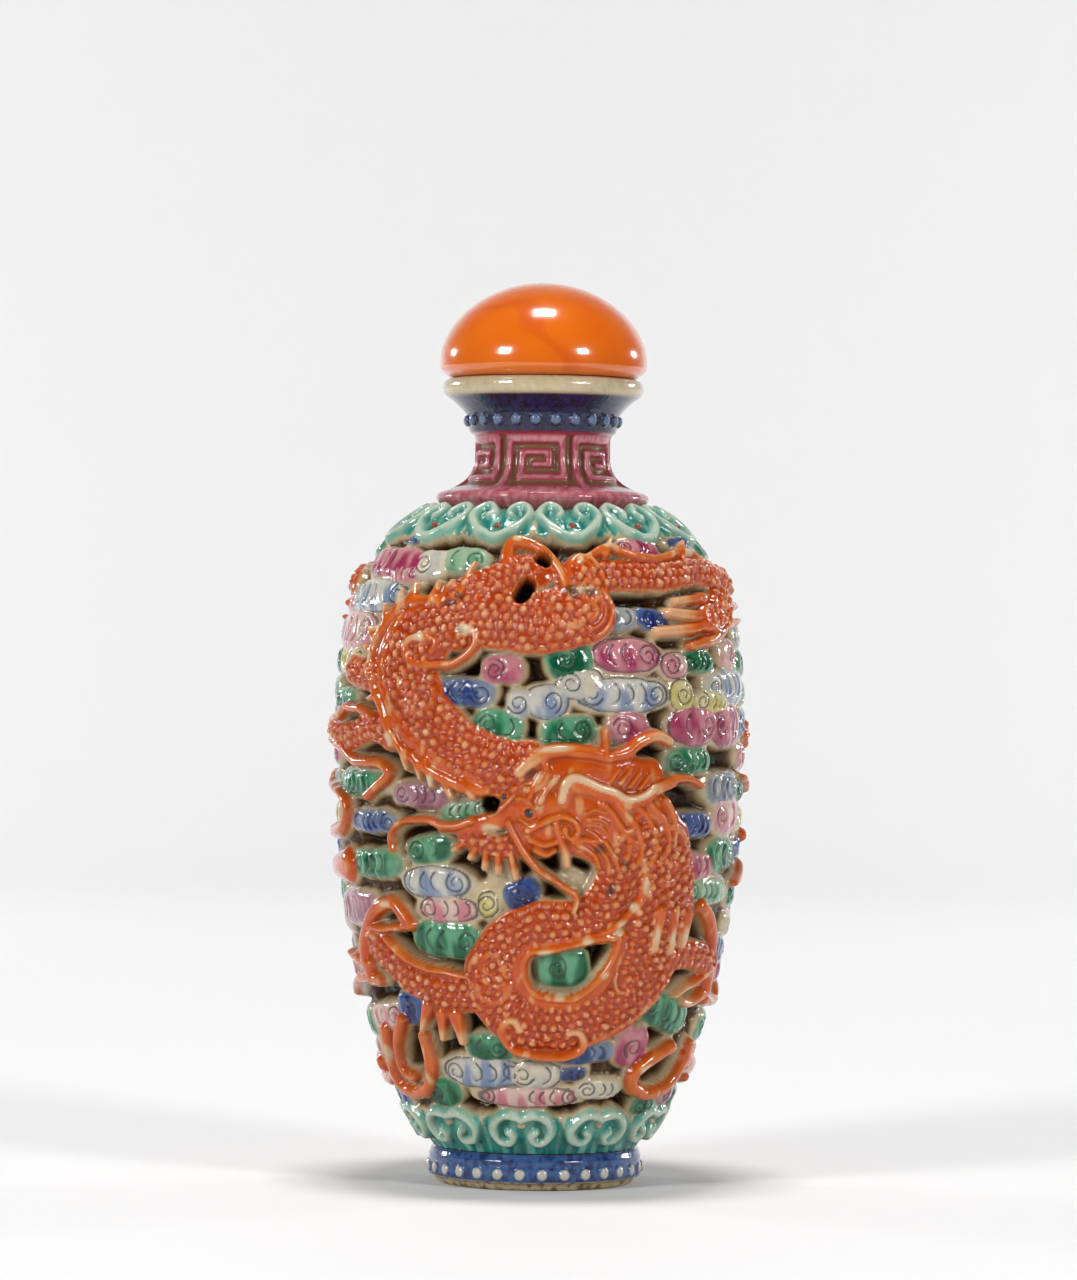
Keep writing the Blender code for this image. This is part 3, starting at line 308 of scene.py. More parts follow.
# Its legs, paws and claws, and the bands and tails that run on round the sides
LIMBS = [
    ("scaled", 1.5, 1.2, [(9, 52.6), (20, 52.8), (32, 52.8), (44, 53), (55, 53.4), (66, 53.2), (76, 52.8),
        (84, 52.6), (92, 52)]),
    ("scaled", 1.5, 1.3, [(66, 52.8), (67, 51.2), (61, 49.7), (56, 49.3)]),
    ("scaled", 1.3, 1.1, [(72, 51.2), (69, 49.6), (60, 48.6)]),
    ("claw", 0.6, 0.45, [(56, 50.9), (50, 50.7), (43, 50.5)]),
    ("claw", 0.75, 0.55, [(63, 49.8), (52, 49.3), (39.5, 49.6)]),
    ("claw", 0.75, 0.5, [(62.5, 48.8), (50, 48.3), (34.5, 47.9)]),
    ("smooth", 0.7, 0.45, [(64, 48.2), (55, 47.2), (46, 46.8)]),
    ("smooth", 0.8, 0.4, [(62, 50.4), (72, 50.3), (84, 50.2)]),
    ("smooth", 0.6, 0.3, [(62, 48.9), (70, 48.7), (82, 48.9)]),
    ("scaled", 1.3, 1.0, [(-45, 39.2), (-52, 39.9), (-60, 39.2), (-70, 38.9), (-84, 39.3)]),
    ("smooth", 0.6, 0.5, [(-84, 38.6), (-70, 38), (-60, 36.9), (-50, 36.9), (-45, 36.2), (-49, 35.1),
        (-55, 34.2)]),
    ("smooth", 0.5, 0.5, [(-84, 40.2), (-74, 40.6), (-68, 41.3), (-60, 41.3), (-53, 40.7)]),
    ("smooth", 0.3, 0.7, [(-101, 35.9), (-95, 35.3), (-90, 34.8), (-80, 34.6), (-70, 33.9), (-67, 32.6),
        (-72, 31.3), (-82, 30.9), (-90, 30.9)]),
    ("smooth", 0.4, 1.6, [(-103, 27), (-96, 27.3), (-90, 28), (-82, 28), (-70, 28.2)]),
    ("smooth", 0.9, 0.6, [(-62, 18.9), (-64, 21), (-60, 23), (-54.5, 24.6), (-48, 25.4), (-43.6, 24.9),
        (-40, 23.6)]),
    ("smooth", 0.45, 0.4, [(-58, 23.2), (-50, 23.2), (-41, 23.5)]),
    ("smooth", 0.7, 0.4, [(-62, 20), (-70, 20.3), (-78, 20.8)]),
    ("smooth", 0.6, 0.4, [(-58, 18.7), (-68, 18.8), (-78, 18.3), (-86, 17.2)]),
    ("scaled", 1.6, 1.2, [(-18, 18), (-27.7, 18), (-36, 18.4), (-44, 19.3), (-50, 20.6), (-57, 22)]),
    ("light", 0.4, 0.35, [(-50, 22.4), (-42.3, 20.8), (-35.2, 20.1), (-27.6, 19.8), (-20, 19.4)]),
    ("claw", 0.8, 0.4, [(-26.9, 16.2), (-25.4, 13.9)]), ("claw", 0.8, 0.4, [(-31.7, 16.2), (-32.5, 14.1)]),
    ("claw", 0.8, 0.4, [(-36.5, 16.8), (-40.2, 14.8)]),
    ("light", 0.7, 0.65, [(-62, 14.4), (-65.5, 11.6), (-65, 9.3), (-56, 8.7), (-46.5, 9.3), (-41, 11.7),
        (-41, 14.2)]),
    ("smooth", 0.55, 0.5, [(-50, 15.4), (-56, 13), (-57.5, 10.9), (-51, 10.3)]),
    ("smooth", 0.7, 0.6, [(-66, 10.4), (-76, 9.6), (-88, 9.8)]),
    ("smooth", 1.3, 1.5, [(-16, 35.7), (-26, 37), (-36, 39), (-43.5, 41.2), (-48, 44.6), (-45, 47.6),
        (-36, 49.2), (-26, 49.8)]),
    ("light", 0.7, 0.6, [(54, 13.2), (45, 12.2), (38.8, 11), (39.6, 9.8), (47, 9), (57, 9.1), (64, 10.2),
        (67, 11.8), (68, 13.2)]),
    ("smooth", 1.0, 1.0, [(68, 12), (77, 11.4), (90, 10.8)]),
    ("light", 0.45, 0.5, [(15, 13.7), (20.8, 14.3), (27, 15.3), (33.5, 16.5), (40, 17.9)]),
    ("mass", 0.75, 0.75, [(22.8, 23.2), (18.5, 23.2), (13, 22.9), (7, 22.4), (1.5, 22.2), (-3, 21.9),
        (-5.4, 20.4), (-3.6, 18.6), (2, 17.6), (9, 17.4), (15.4, 18), (20.5, 19.5), (24.4, 21.6),
        (24.6, 23)]),
    ("smooth", 0.8, 0.9, [(55, 25.2), (60, 24.2), (64, 22.4), (66, 20), (67, 18.2)]),
    ("claw", 0.7, 0.3, [(65, 19.6), (56, 18.8), (48, 17.8)]),
    ("claw", 0.7, 0.4, [(67, 18), (60, 17.2), (53, 17.2)]),
    ("smooth", 0.6, 0.4, [(68, 17.2), (76, 16.9), (86, 17)]),
]

# Crests along its back, with their flames
CRESTS = [
    ("light", 0.7, 0.6, [(-14.5, 34.9), (-18.2, 34.9), (-23, 35.4), (-29, 36.2), (-35, 37.2), (-41, 38.4),
        (-44.8, 39.8), (-47.5, 41.4), (-51, 43.2), (-53, 45), (-52, 46.8), (-48.5, 48.3), (-44.5, 49.7),
        (-40, 50.3), (-35, 50.3), (-30, 50.3), (-26, 50.4), (-23.4, 51.4)]),
    ("light", 0.8, 0.5, [(-10, 53.6), (-11.2, 54.7), (-10, 55.7), (-6.5, 55.9), (-1.2, 55.3), (3, 54.2),
        (6, 52.9), (7.5, 51.4)]),
    ("light", 0.5, 0.4, [(9.5, 53.6), (14, 54.2), (19, 55), (23, 55.4), (28, 54.9), (34, 54.4), (42, 54.4),
        (49, 54.9), (54.5, 55.1), (61, 54.5), (72, 53.4), (82, 52.8)]),
    ("claw", 0.6, 0.25, [(-23.4, 51), (-22.2, 52.6), (-20.5, 53.6)]),
    ("claw", 0.6, 0.25, [(-33, 50.4), (-31.4, 51.9)]), ("claw", 0.7, 0.25, [(-45, 49.4), (-44.4, 51)]),
    ("claw", 0.6, 0.25, [(-52.5, 46), (-56.5, 46.5)]), ("claw", 0.6, 0.25, [(-49, 42.4), (-53, 42.1)]),
    ("claw", 0.6, 0.25, [(-52, 44.2), (-56, 44.4)]), ("claw", 0.6, 0.25, [(-52, 46.8), (-55.5, 48)]),
    ("claw", 0.6, 0.25, [(-48.5, 48.3), (-50.5, 49.9)]),
    ("claw", 0.6, 0.25, [(-40.5, 50.2), (-39.4, 51.8)]), ("claw", 0.6, 0.25, [(-29, 50.4), (-27.2, 52)]),
    ("claw", 0.6, 0.25, [(-39.5, 38.2), (-37.6, 36.4)]),
    ("claw", 0.6, 0.25, [(-35.5, 37.5), (-33.4, 35.7)]), ("claw", 0.6, 0.25, [(-26.5, 35.9), (-24, 34.3)]),
    ("claw", 0.5, 0.25, [(-46.5, 40.6), (-47.5, 39.4)]), ("claw", 0.7, 0.3, [(-44, 40.4), (-43.6, 38.3)]),
    ("claw", 0.6, 0.3, [(-31.5, 37.2), (-29.6, 35.2)]), ("claw", 0.6, 0.4, [(-21, 35.6), (-18, 34.3)]),
    ("claw", 0.6, 0.25, [(21, 54.8), (24.5, 56.2)]), ("claw", 0.6, 0.25, [(52, 54.6), (57, 56)]),
    ("light", 0.5, 0.45, [(28.5, 29.6), (30.8, 28), (30.6, 26.6), (27, 25.2), (23.4, 24), (17, 23.2),
        (10.6, 22.7)]),
]

# The rim of the lower loop, and a paw
LOOP = [
    ("light", 0.42, 0.42, [(22.5, 22.9), (18.5, 23), (13, 22.6), (7, 22.1), (1.5, 21.9), (-2.6, 21.6),
        (-4.5, 20.4), (-3, 18.9), (2, 18), (9, 17.8), (15, 18.4), (19.5, 19.8), (22.8, 21.5), (24, 22.8)]),
    ("scaled", 1.2, 1.2, [(44, 21.2), (50, 21.3), (56, 21.1), (63, 20.6)]),
]

# The masses of its head, and its teeth
HEAD = [
    ("mass", 1.5, 1.5, [(-4, 35.3), (4, 36), (14, 36.4), (24, 36.3), (31, 36)]),
    ("mass", 1.6, 2.0, [(-5, 33.4), (4, 33.6), (14, 33.2), (22, 33), (32, 33)]),
    ("mass", 2.4, 2.0, [(17, 32), (24, 31.2), (30, 31), (36, 31.8)]),
    ("mass", 1.6, 1.4, [(-2, 31.6), (4, 31.6), (10, 31.8), (18, 31.6)]),
    ("mass", 1.0, 0.8, [(10, 30.8), (16, 29.9), (21, 28.6)]),
    ("mass", 1.0, 0.45, [(-6, 33.2), (-12, 32.5), (-18, 32), (-27, 31.8)]),
    ("scaled", 1.1, 0.8, [(-7, 30.4), (-12, 30.4), (-20, 31)]),
    ("claw", 0.4, 0.34, [(-20.5, 30.6), (-23.6, 30)]), ("claw", 0.4, 0.34, [(-17.3, 30.2), (-19, 29.4)]),
    ("claw", 0.4, 0.34, [(-14.2, 30), (-14.9, 28.6)]), ("claw", 0.4, 0.34, [(-11, 29.8), (-11.1, 28.2)]),
    ("claw", 0.4, 0.34, [(-7.6, 29.8), (-6.3, 27.8)]),
]

# Locks of the mane, the brow's ridges, the nose and the lip
MANE = [
    ("light", 0.46, 0.34, [(17.1, 33.9), (20.2, 32.9), (23.2, 31.8), (25, 30.6), (24.3, 29.3)]),
    ("light", 0.46, 0.34, [(21, 33.9), (24.7, 32.8), (27.6, 31.6), (28.7, 30.3), (27.5, 29)]),
    ("light", 0.46, 0.34, [(25.4, 33.9), (29.8, 32.8), (32.4, 31.6), (33.1, 30.3), (31.9, 29)]),
    ("light", 0.46, 0.34, [(31.1, 33.8), (34.7, 32.8), (37, 31.5), (37.2, 30.3), (35.9, 29.5)]),
    ("light", 0.4, 0.3, [(36, 34.2), (38.3, 33.1), (39.4, 31.8), (39.3, 30.5)]),
    ("light", 0.42, 0.3, [(9.3, 30.9), (12.7, 31), (16.2, 30.3), (18.9, 29.3), (19.5, 28.3)]),
    ("light", 0.36, 0.26, [(10.6, 30.6), (12.8, 30.2), (15.4, 29.6), (16.8, 28.7)]),
    ("light", 0.36, 0.26, [(13, 30.9), (17.4, 30.8), (20.4, 29.8), (22, 28.5)]),
    ("light", 0.24, 0.2, [(12.9, 33.1), (15.4, 33.4), (18, 33.1)]),
    ("light", 0.24, 0.2, [(13.4, 32.6), (16.3, 32.6), (18.5, 32.2)]),
    ("light", 0.24, 0.2, [(13.4, 32.2), (16.4, 32), (18.2, 31.5)]),
    ("light", 0.24, 0.2, [(13, 31.8), (15.4, 31.3), (17, 30.7)]),
    ("light", 0.26, 0.22, [(18.8, 35.6), (21.5, 36.7)]),
    ("light", 0.26, 0.22, [(21.6, 35.5), (24.5, 36.7)]),
    ("light", 0.26, 0.22, [(24.6, 35.3), (27.4, 36.4)]),
    ("light", 0.26, 0.22, [(27.5, 35.1), (30.2, 36.2)]),
    ("claw", 0.4, 0.4, [(-2.6, 33.9), (-1.6, 34.9), (0.2, 36.2)]),
    ("claw", 0.4, 0.4, [(0.4, 34), (1.9, 35), (4.4, 35.9)]),
    ("light", 0.42, 0.36, [(-2.2, 30.9), (1.1, 30.6), (5.1, 30.7)]),
    ("light", 0.4, 0.3, [(-0.8, 30.1), (2.5, 29.8), (4.5, 30)]),
    ("light", 0.26, 0.2, [(-5.6, 34.2), (-3, 34.1), (-0.6, 33.4)]),
    ("light", 0.24, 0.2, [(-4.8, 32.6), (-2.6, 32.2), (-0.4, 32.5)]),
    ("light", 0.4, 0.3, [(-13, 32.9), (-9.5, 33.6), (-6.6, 34.5)]),
    ("light", 0.85, 0.5, [(6.5, 33.9), (8.5, 35.3), (14, 35), (18.8, 34.5), (23.8, 33.9), (28.5, 34.1),
        (32, 34.9), (38, 35.5)]),
]

# Horns, the pale brow, whiskers, the eye's curl and the claws in front
HORNS = [
    ("ends", 0.75, 0.55, [(-5, 36.4), (-0.4, 37.6), (4.1, 38.1), (9.3, 38.1), (13.9, 37.9), (19.3, 37.7),
        (23.5, 38), (27.1, 38.8), (31.6, 39.3), (36.4, 39)]),
    ("smooth", 0.55, 0.35, [(17.6, 37.9), (17.5, 39.8)]),
    ("cream", 0.60, 0.36, [(5.9, 34.2), (7.1, 35.5), (9.4, 36), (14, 35.5), (18.8, 35), (23.8, 34.3),
        (28.2, 34.4), (31.1, 35), (35, 35.5), (40, 35.9), (44.6, 35.8), (48.6, 35.3)]),
    ("smooth", 0.45, 0.25, [(-18, 32.3), (-25.3, 31.9), (-30.5, 32.3), (-36.1, 32.4), (-40.4, 32),
        (-43.3, 31), (-43, 29.8)]),
    ("light", 0.42, 0.32, [(-7.8, 32.4), (-5.4, 30.9), (-2.8, 29.5), (1.2, 28.3), (6, 27.4), (9, 26.8),
        (10.5, 26.1), (9.6, 25.1)]),
    ("light", 0.42, 0.36, [(-2.8, 31.7), (0.4, 32.2), (3.7, 32.7), (6.9, 32.8), (9.6, 32.5), (10.6, 31.8),
        (9.2, 31.2), (7.4, 31.3), (7.1, 31.9)]),
    ("claw", 0.46, 0.36, [(4.5, 32.2), (5.8, 31), (7.1, 30), (7.7, 29)]),
    ("claw", 0.75, 0.6, [(36.4, 25), (35.2, 22.1)]), ("claw", 0.75, 0.6, [(41.4, 25), (41, 21.9)]),
    ("claw", 0.75, 0.6, [(46.6, 24.8), (45.6, 22.3)]),
    ("ends", 0.42, 0.42, [(-34.4, 47.2), (-37.6, 47), (-38.9, 46.2), (-36.6, 45.2), (-31.7, 44.9),
        (-26.3, 44.9), (-21.3, 45.5), (-18, 46.4), (-17.8, 47.4), (-21, 48)]),
    ("ends", 0.42, 0.42, [(-5, 15.2), (-7.3, 16), (-10, 15.8), (-10.8, 14.7), (-8.4, 13.6), (-3.5, 13.1),
        (3, 12.8), (8.8, 12.8), (13.8, 13.2), (15.4, 14), (13.8, 14.9), (10.3, 15.1)]),
]

# Holes through the dragon, and dabs of bare cream and of dirt on its glaze, given as the openings are
HOLES = [(-5, 51.2, 3.4, 0.62, 55), (0.5, 54, 2.2, 0.5, -30), (-13.4, 33.7, 2.2, 0.6, 0)]
CREAM_DABS = [
    (2.3, 21.8, 2.2, 0.3, 5), (14.2, 22.7, 1.6, 0.3, 5), (23.6, 23.4, 1.6, 0.4, 40), (6.9, 18, 1.6, 0.3, 0),
    (20.2, 19.9, 1.4, 0.3, 40), (30.4, 27.2, 1.0, 0.7, 0), (27.4, 25.5, 1.3, 0.45, 40),
    (24, 24.1, 1.5, 0.3, 30), (-21, 47.8, 2.6, 0.5, -10), (-34.4, 47.2, 1.5, 0.45, 0),
    (-12.6, 31.7, 3.0, 0.5, -12), (4, 38.3, 5, 0.3, 3), (-44, 50.4, 1.2, 0.5, 0),
    (-53.2, 45.6, 1.0, 0.6, 0), (-44, 38.9, 1.2, 0.6, 0), (-29.8, 35.6, 1.0, 0.5, 0),
    (22, 55.5, 2.0, 0.4, 0), (-8, 55.9, 1.6, 0.3, 0), (-48, 25.4, 2.5, 0.3, 0), (-63, 12.5, 1.2, 0.8, 0),
    (-42, 10.4, 1.0, 0.7, 0), (42, 11.6, 2.6, 0.35, 20), (12, 53.9, 1.0, 0.4, 0), (56, 54.9, 2.2, 0.4, 0),
    (12, 51.2, 4.5, 0.35, 0), (35.4, 23.2, 0.9, 0.8, 0), (41, 23, 0.9, 0.9, 0), (46, 23.2, 0.9, 0.7, 0),
]
DIRT_DABS = [
    (16.5, 30.2, 1.8, 0.35, -10), (24, 28.9, 1.0, 0.35, 0), (-2, 36.3, 1.8, 0.35, 40),
    (-23.5, 50.6, 1.0, 0.4, 60), (-26, 50, 2.5, 0.3, 0), (9, 51, 1.4, 0.5, 40), (20, 26.9, 1.4, 0.5, 30),
    (14, 51, 2.5, 0.3, 0), (8, 51.4, 2, 0.3, 20),
]

# The dragon's strokes in the order they are laid, and how far their crowns stand out
CROWNS = ((LIMBS, 0.16), (BODY, 0.30), (CRESTS, 0.30), (LOOP, 0.38), (HEAD, 0.14), (MANE, 0.42),
          (HORNS, 0.54))

# Eyes: degrees round, millimetres up and radius of the dark dot; how much wider its lid is, and both heights
EYES = ((-9.1, 34.5, 0.24), (-2.5, 33.1, 0.34))
LID_WIDER, LID_HEIGHT, EYE_HEIGHT = 0.18, 0.14, 0.24


def smooth(x):
    """A soft step from 0 to 1."""
    x = np.clip(x, 0.0, 1.0)
    return x * x * (3.0 - 2.0 * x)


def mix(a, b, share):
    """Colours between a and b, at a share for each point."""
    share = np.asarray(share)[..., None]
    return np.asarray(a, dtype=float) * (1.0 - share) + np.asarray(b, dtype=float) * share


def mix_numbers(a, b, share):
    """Numbers between a and b."""
    return a + (b - a) * share


def linear(colour):
    """Light values, 0 to 1, of colours given as the eye sees them."""
    c = np.clip(np.asarray(colour, dtype=float) / 255.0, 0.0, 1.0)
    return np.where(c <= 0.04045, c / 12.92, ((c + 0.055) / 1.055) ** 2.4)


def blur(field, times):
    """A field with its neighbours averaged in; it closes round its columns."""
    for _ in range(times):
        field = (np.roll(field, 1, axis=1) + 2.0 * field + np.roll(field, -1, axis=1)) / 4.0
        padded = np.pad(field, ((1, 1), (0, 0)), mode="edge")
        field = (padded[:-2] + 2.0 * padded[1:-1] + padded[2:]) / 4.0
    return field


def belly_radius(z):
    """Radius of the belly's face at height z."""
    up = z > BELLY_LEVEL
    reach = np.where(up, SHOULDER_REACH, FOOT_REACH)
    bend = np.where(up, SHOULDER_BEND, FOOT_BEND)
    power = np.where(up, SHOULDER_POWER, FOOT_POWER)
    return BELLY_RADIUS * (1.0 - (np.abs(z - BELLY_LEVEL) / reach) ** bend) ** power


def wall(rows):
    """Points up the belly's face, evenly spaced along it, with the outward normal at each."""
    z = np.linspace(BAND_HEIGHT, SHOULDER_LEVEL, 2000)
    r = belly_radius(z)
    along = np.concatenate([[0.0], np.cumsum(np.hypot(np.diff(r), np.diff(z)))])
    step = np.linspace(0.0, along[-1], rows)
    slope_r = np.interp(step, along, np.gradient(r, along))
    slope_z = np.interp(step, along, np.gradient(z, along))
    size = np.hypot(slope_r, slope_z)
    return np.interp(step, along, r), np.interp(step, along, z), slope_z / size, -slope_r / size


def curve(points, steps=6):
    """A smooth curve through points: Catmull-Rom, with a few steps for each span."""
    p = np.array([points[0], *points, points[-1]], dtype=float)
    smoothed = []
    for i in range(1, len(p) - 2):
        for t in np.arange(steps) / steps:
            smoothed.append(0.5 * (2 * p[i] + (p[i + 1] - p[i - 1]) * t
                                   + (2 * p[i - 1] - 5 * p[i] + 4 * p[i + 1] - p[i + 2]) * t ** 2
                                   + (3 * p[i] - p[i - 1] - 3 * p[i + 1] + p[i + 2]) * t ** 3))
    smoothed.append(p[-1])
    return np.array(smoothed)


def nearest(x, y, path):
    """From each point to a path: the distance, how far along, the share of its length, and which side."""
    best = np.full(np.broadcast(x, y).shape, np.inf)
    along = np.zeros_like(best)
    side = np.ones_like(best)
    done = 0.0
    for a, b in zip(path, path[1:]):
        run = b - a
        length = math.hypot(*run)
        t = np.clip(((x - a[0]) * run[0] + (y - a[1]) * run[1]) / (length * length), 0.0, 1.0)
        off_x = x - a[0] - t * run[0]
        off_y = y - a[1] - t * run[1]
        far = np.hypot(off_x, off_y)
        closer = far < best
        best = np.where(closer, far, best)
        along = np.where(closer, done + t * length, along)
        side = np.where(closer, np.sign(run[0] * off_y - run[1] * off_x), side)
        done += length
    return best, along, along / done, side


def ink_line(x, y, points, start, end):
    """Distance in millimetres outside a painted line that tapers from one half width to the other."""
    best, _, share, _ = nearest(x, y, curve(points, 3))
    return best - (start + (end - start) * share)


def spiral(number, way, middle, size):
    """A line that winds in on a middle; the number of its cloud sets where it starts."""
    share = np.linspace(0.0, 1.0, SPIRAL_POINTS)
    angle = (SPIRAL_START + SPIRAL_SHIFT * (number % 4) * way + SPIRAL_TURNS * share) * 2.0 * math.pi
    radius = size * (1.0 - SPIRAL_CLOSING * share)
    return np.stack((middle - way * radius * np.cos(angle), -radius * np.sin(angle)), axis=-1)


def scatter(key, factor):
    """Numbers from 0 to 1 that look like chance and are the same each time for a key."""
    return (np.sin(key) * factor) % 1.0


def granules(along, across, seed):
    """Domes on a shaken triangular lattice: their height 0 to 1, and a number for each."""
    best = np.full(along.shape, np.inf)
    mark = np.zeros_like(best)
    row0 = np.round(across / GRANULE_ROW)
    for dj in (-1, 0, 1):
        row = row0 + dj
        shift = 0.5 * (row % 2)
        column0 = np.round(along / GRANULE_PITCH - shift)
        for di in (-1, 0, 1):
            column = column0 + di
            key = column * 127.1 + row * 311.7 + seed * 74.7
            shake_x = scatter(key, 43758.5453) - 0.5
            shake_y = scatter(key + 17.3, 24634.6345) - 0.5
            far = np.hypot(along - (column + shift + GRANULE_SHAKE * shake_x) * GRANULE_PITCH,
                           across - (row + GRANULE_SHAKE * shake_y) * GRANULE_ROW)
            closer = far < best
            best = np.where(closer, far, best)
            mark = np.where(closer, scatter(key + 5.1, 15731.743), mark)
    size = GRANULE_SIZE[0] + GRANULE_SIZE[1] * mark
    return np.sqrt(np.clip(1.0 - (best / size) ** 2, 0.0, 1.0)), mark


def scaly(top, along, across, inside, flow, pale, seed):
    """Relief and colour of granulated skin, with pale tips on the bolder granules."""
    dome, mark = granules(along, across, seed)
    room = smooth((inside - SKIN_EDGE) / SKIN_FADE)
    dome = dome * room
    top = top + (GRANULE_RISE[0] + GRANULE_RISE[1] * mark) * dome - SKIN_SINK * room
    colour = mix(ORANGE_DEEP, ORANGE, smooth(0.1 + 0.8 * dome + 0.3 * flow))
    tip = smooth((dome - 0.5) / 0.45) * np.clip(0.10 + 0.6 * mark ** 2 + 0.25 * pale, 0.0, 0.75)
    colour = mix(colour, PEACH, tip)
    return top, mix(ORANGE, colour, room)


def glazed(look, share, out, flow, pale):
    """Colour of a smooth strand: deeper at its edges, and paler where its look says so."""
    base = 0.75 if look == "light" else 0.35
    colour = mix(ORANGE, ORANGE_LIGHT, smooth(base + 0.4 * flow - 0.5 * out))
    colour = mix(colour, ORANGE_DEEP, smooth(out * 1.6 - 0.8) * 0.5)
    crest = smooth((0.85 - out) / 0.45)
    paled = smooth((pale - 0.5) / 0.8) * crest * 0.75
    if look == "claw":
        paled = np.maximum(paled, smooth((share - 0.45) / 0.35) * 0.9)
    if look == "cream":
        paled = np.maximum(paled, smooth((0.75 - share) / 0.15) * crest)
    if look == "ends":
        paled = np.maximum(paled, smooth((np.abs(share - 0.5) - 0.28) / 0.14) * crest * 0.9)
    return mix(colour, CREAM_CREST if look == "cream" else PEACH, paled)


class Sheet:
    """Half a turn of the pattern, unrolled: depth in millimetres, colour, ink and stain for each point."""

    def __init__(self, columns, rows):
        self.turn = np.arange(columns) * 180.0 / columns
        self.rise = np.linspace(PATTERN_LOW, PATTERN_HIGH, rows)
        z = np.interp(self.rise, [PATTERN_LOW, PATTERN_HIGH], [BAND_HEIGHT, SHOULDER_LEVEL])
        self.scale = np.radians(belly_radius(z))
        shape = (rows, columns)
        self.depth = np.full(shape, RECESS)
        self.ground = np.full(shape, RECESS)
        self.gap = np.full(shape, FAR)
        self.colour = np.zeros(shape + (3,))
        self.ink = np.full(shape, NO_INK)
        self.matt = np.zeros(shape)
        self.motifs = []
        self.shake = [self.ripple(*settings) * SHAKE for settings in SHAKES]
        self.wash = self.ripple(*WASH)
        self.pale = self.ripple(*PALE)
        self.lumps = self.ripple(*LUMPS)

    def ripple(self, seed, low, high, rate):
        """Smooth noise, about -1 to 1, that closes after half a turn."""
        rng = np.random.default_rng(seed)
        field = np.zeros((len(self.rise), len(self.turn)))
        for _ in range(RIPPLE_WAVES):
            cycles = rng.integers(low, high) * rng.choice((-1, 1))
            up = rng.uniform(-rate, rate)
            phase = rng.uniform(0.0, 2.0 * math.pi)
            field += np.sin(np.radians(2.0 * cycles * self.turn)[None, :]
                            + (2.0 * math.pi * up * self.rise)[:, None] + phase)
        return field / math.sqrt(RIPPLE_WAVES)

    def near(self, turn, rise, reach_x, reach_y):
        """The rows and columns within reach of a point, and their places from it in millimetres."""
        rows = np.nonzero(np.abs(self.rise - rise) <= reach_y)[0]
        away = (self.turn - turn + 90.0) % 180.0 - 90.0
        scale = np.interp(rise, self.rise, self.scale)
        columns = np.nonzero(np.abs(away) * scale <= reach_x)[0]
        part = np.ix_(rows, columns)
        x = away[columns][None, :] * scale + self.shake[0][part]
        y = (self.rise[rows] - rise)[:, None] + self.shake[1][part]
        return part, x, y, scale

    def add(self, part, inside, top, colour, ink=NO_INK):
        """Keep a motif to be painted; inside is positive within its edge, in millimetres."""
        self.gap[part] = np.minimum(self.gap[part], -inside)
        self.motifs.append((part, inside, top, colour, ink, False))

    def oval(self, turn, rise, half_turn, half_rise, lean, bend=2.6):
        """Places in a plump oval, how far inside it, and how far out from its middle, 0 to 1."""
        reach = 1.2 * max(half_turn * self.scale.max(), half_rise) + 1.0
        part, x, y, scale = self.near(turn, rise, reach, reach)
        cos, sin = math.cos(math.radians(lean)), math.sin(math.radians(lean))
        half_x = half_turn * scale
        across, up = x * cos + y * sin, y * cos - x * sin
        out = (np.abs(across / half_x) ** bend + np.abs(up / half_rise) ** bend) ** (1.0 / bend)
        return part, across, up, half_x, (1.0 - out) * min(half_rise, half_x), np.minimum(out, 1.0)

    def cloud(self, number, name, outlined, turn, rise, half_turn, half_rise, lean):
        """A pillow of cloud with an inked spiral at one end and a few curved strokes."""
        growth = CLOUD_GROWTH + SIDE_GROWTH * float(smooth((abs(turn) - 50.0) / 20.0))
        h = half_rise * growth
        bend = OUTLINED_BEND if outlined else CLOUD_BEND
        part, x, y, half_x, inside, out = self.oval(turn, rise, half_turn * growth, h, lean, bend)
        light, deep = PALETTE[name]
        flow, lumps = self.wash[part], self.lumps[part]
        colour = mix(light, deep, smooth(0.58 - 0.5 * y / h + 0.5 * flow + 0.15 * lumps - 0.25 * out))
        rim = mix(light, CREAM, np.full_like(x, 0.5))
        colour = mix(colour, rim, smooth(1.0 - inside / 0.34) * 0.75)
        way = -1.0 if number % 3 else 1.0
        curl_x = way * max(half_x - 1.05 * h, 0.0)
        winding = spiral(number, way, curl_x, min(SPIRAL_SHARE * h, SPIRAL_MOST))
        ink = ink_line(x, y, winding, *SPIRAL_INK)
        strokes = int(min(3, (2.0 * half_x - 2.4 * h) / (0.8 * h)))
        for k in range(max(strokes, 0)):
            at = curl_x - way * (1.35 * h + 0.78 * h * k)
            stroke = [(at + way * 0.02 * h, 0.55 * h), (at - way * 0.24 * h, 0.2 * h),
                      (at - way * 0.18 * h, -0.25 * h), (at + way * 0.18 * h, -0.48 * h)]
            ink = np.minimum(ink, ink_line(x, y, stroke, *STROKE_INK))
        if outlined:
            if half_x > 2.6 * h:
                ink = np.minimum(ink, ink_line(-x, y, winding, *TWIN_INK))
            ink = np.minimum(ink, np.abs(inside - OUTLINE_PLACE) - OUTLINE_INK)
        top = CLOUD_TOP - CLOUD_ROUNDING * out ** 4 - INK_GROOVE * smooth(1.0 - ink / 0.16) + LUMP * lumps
        self.add(part, inside, top, colour, ink)

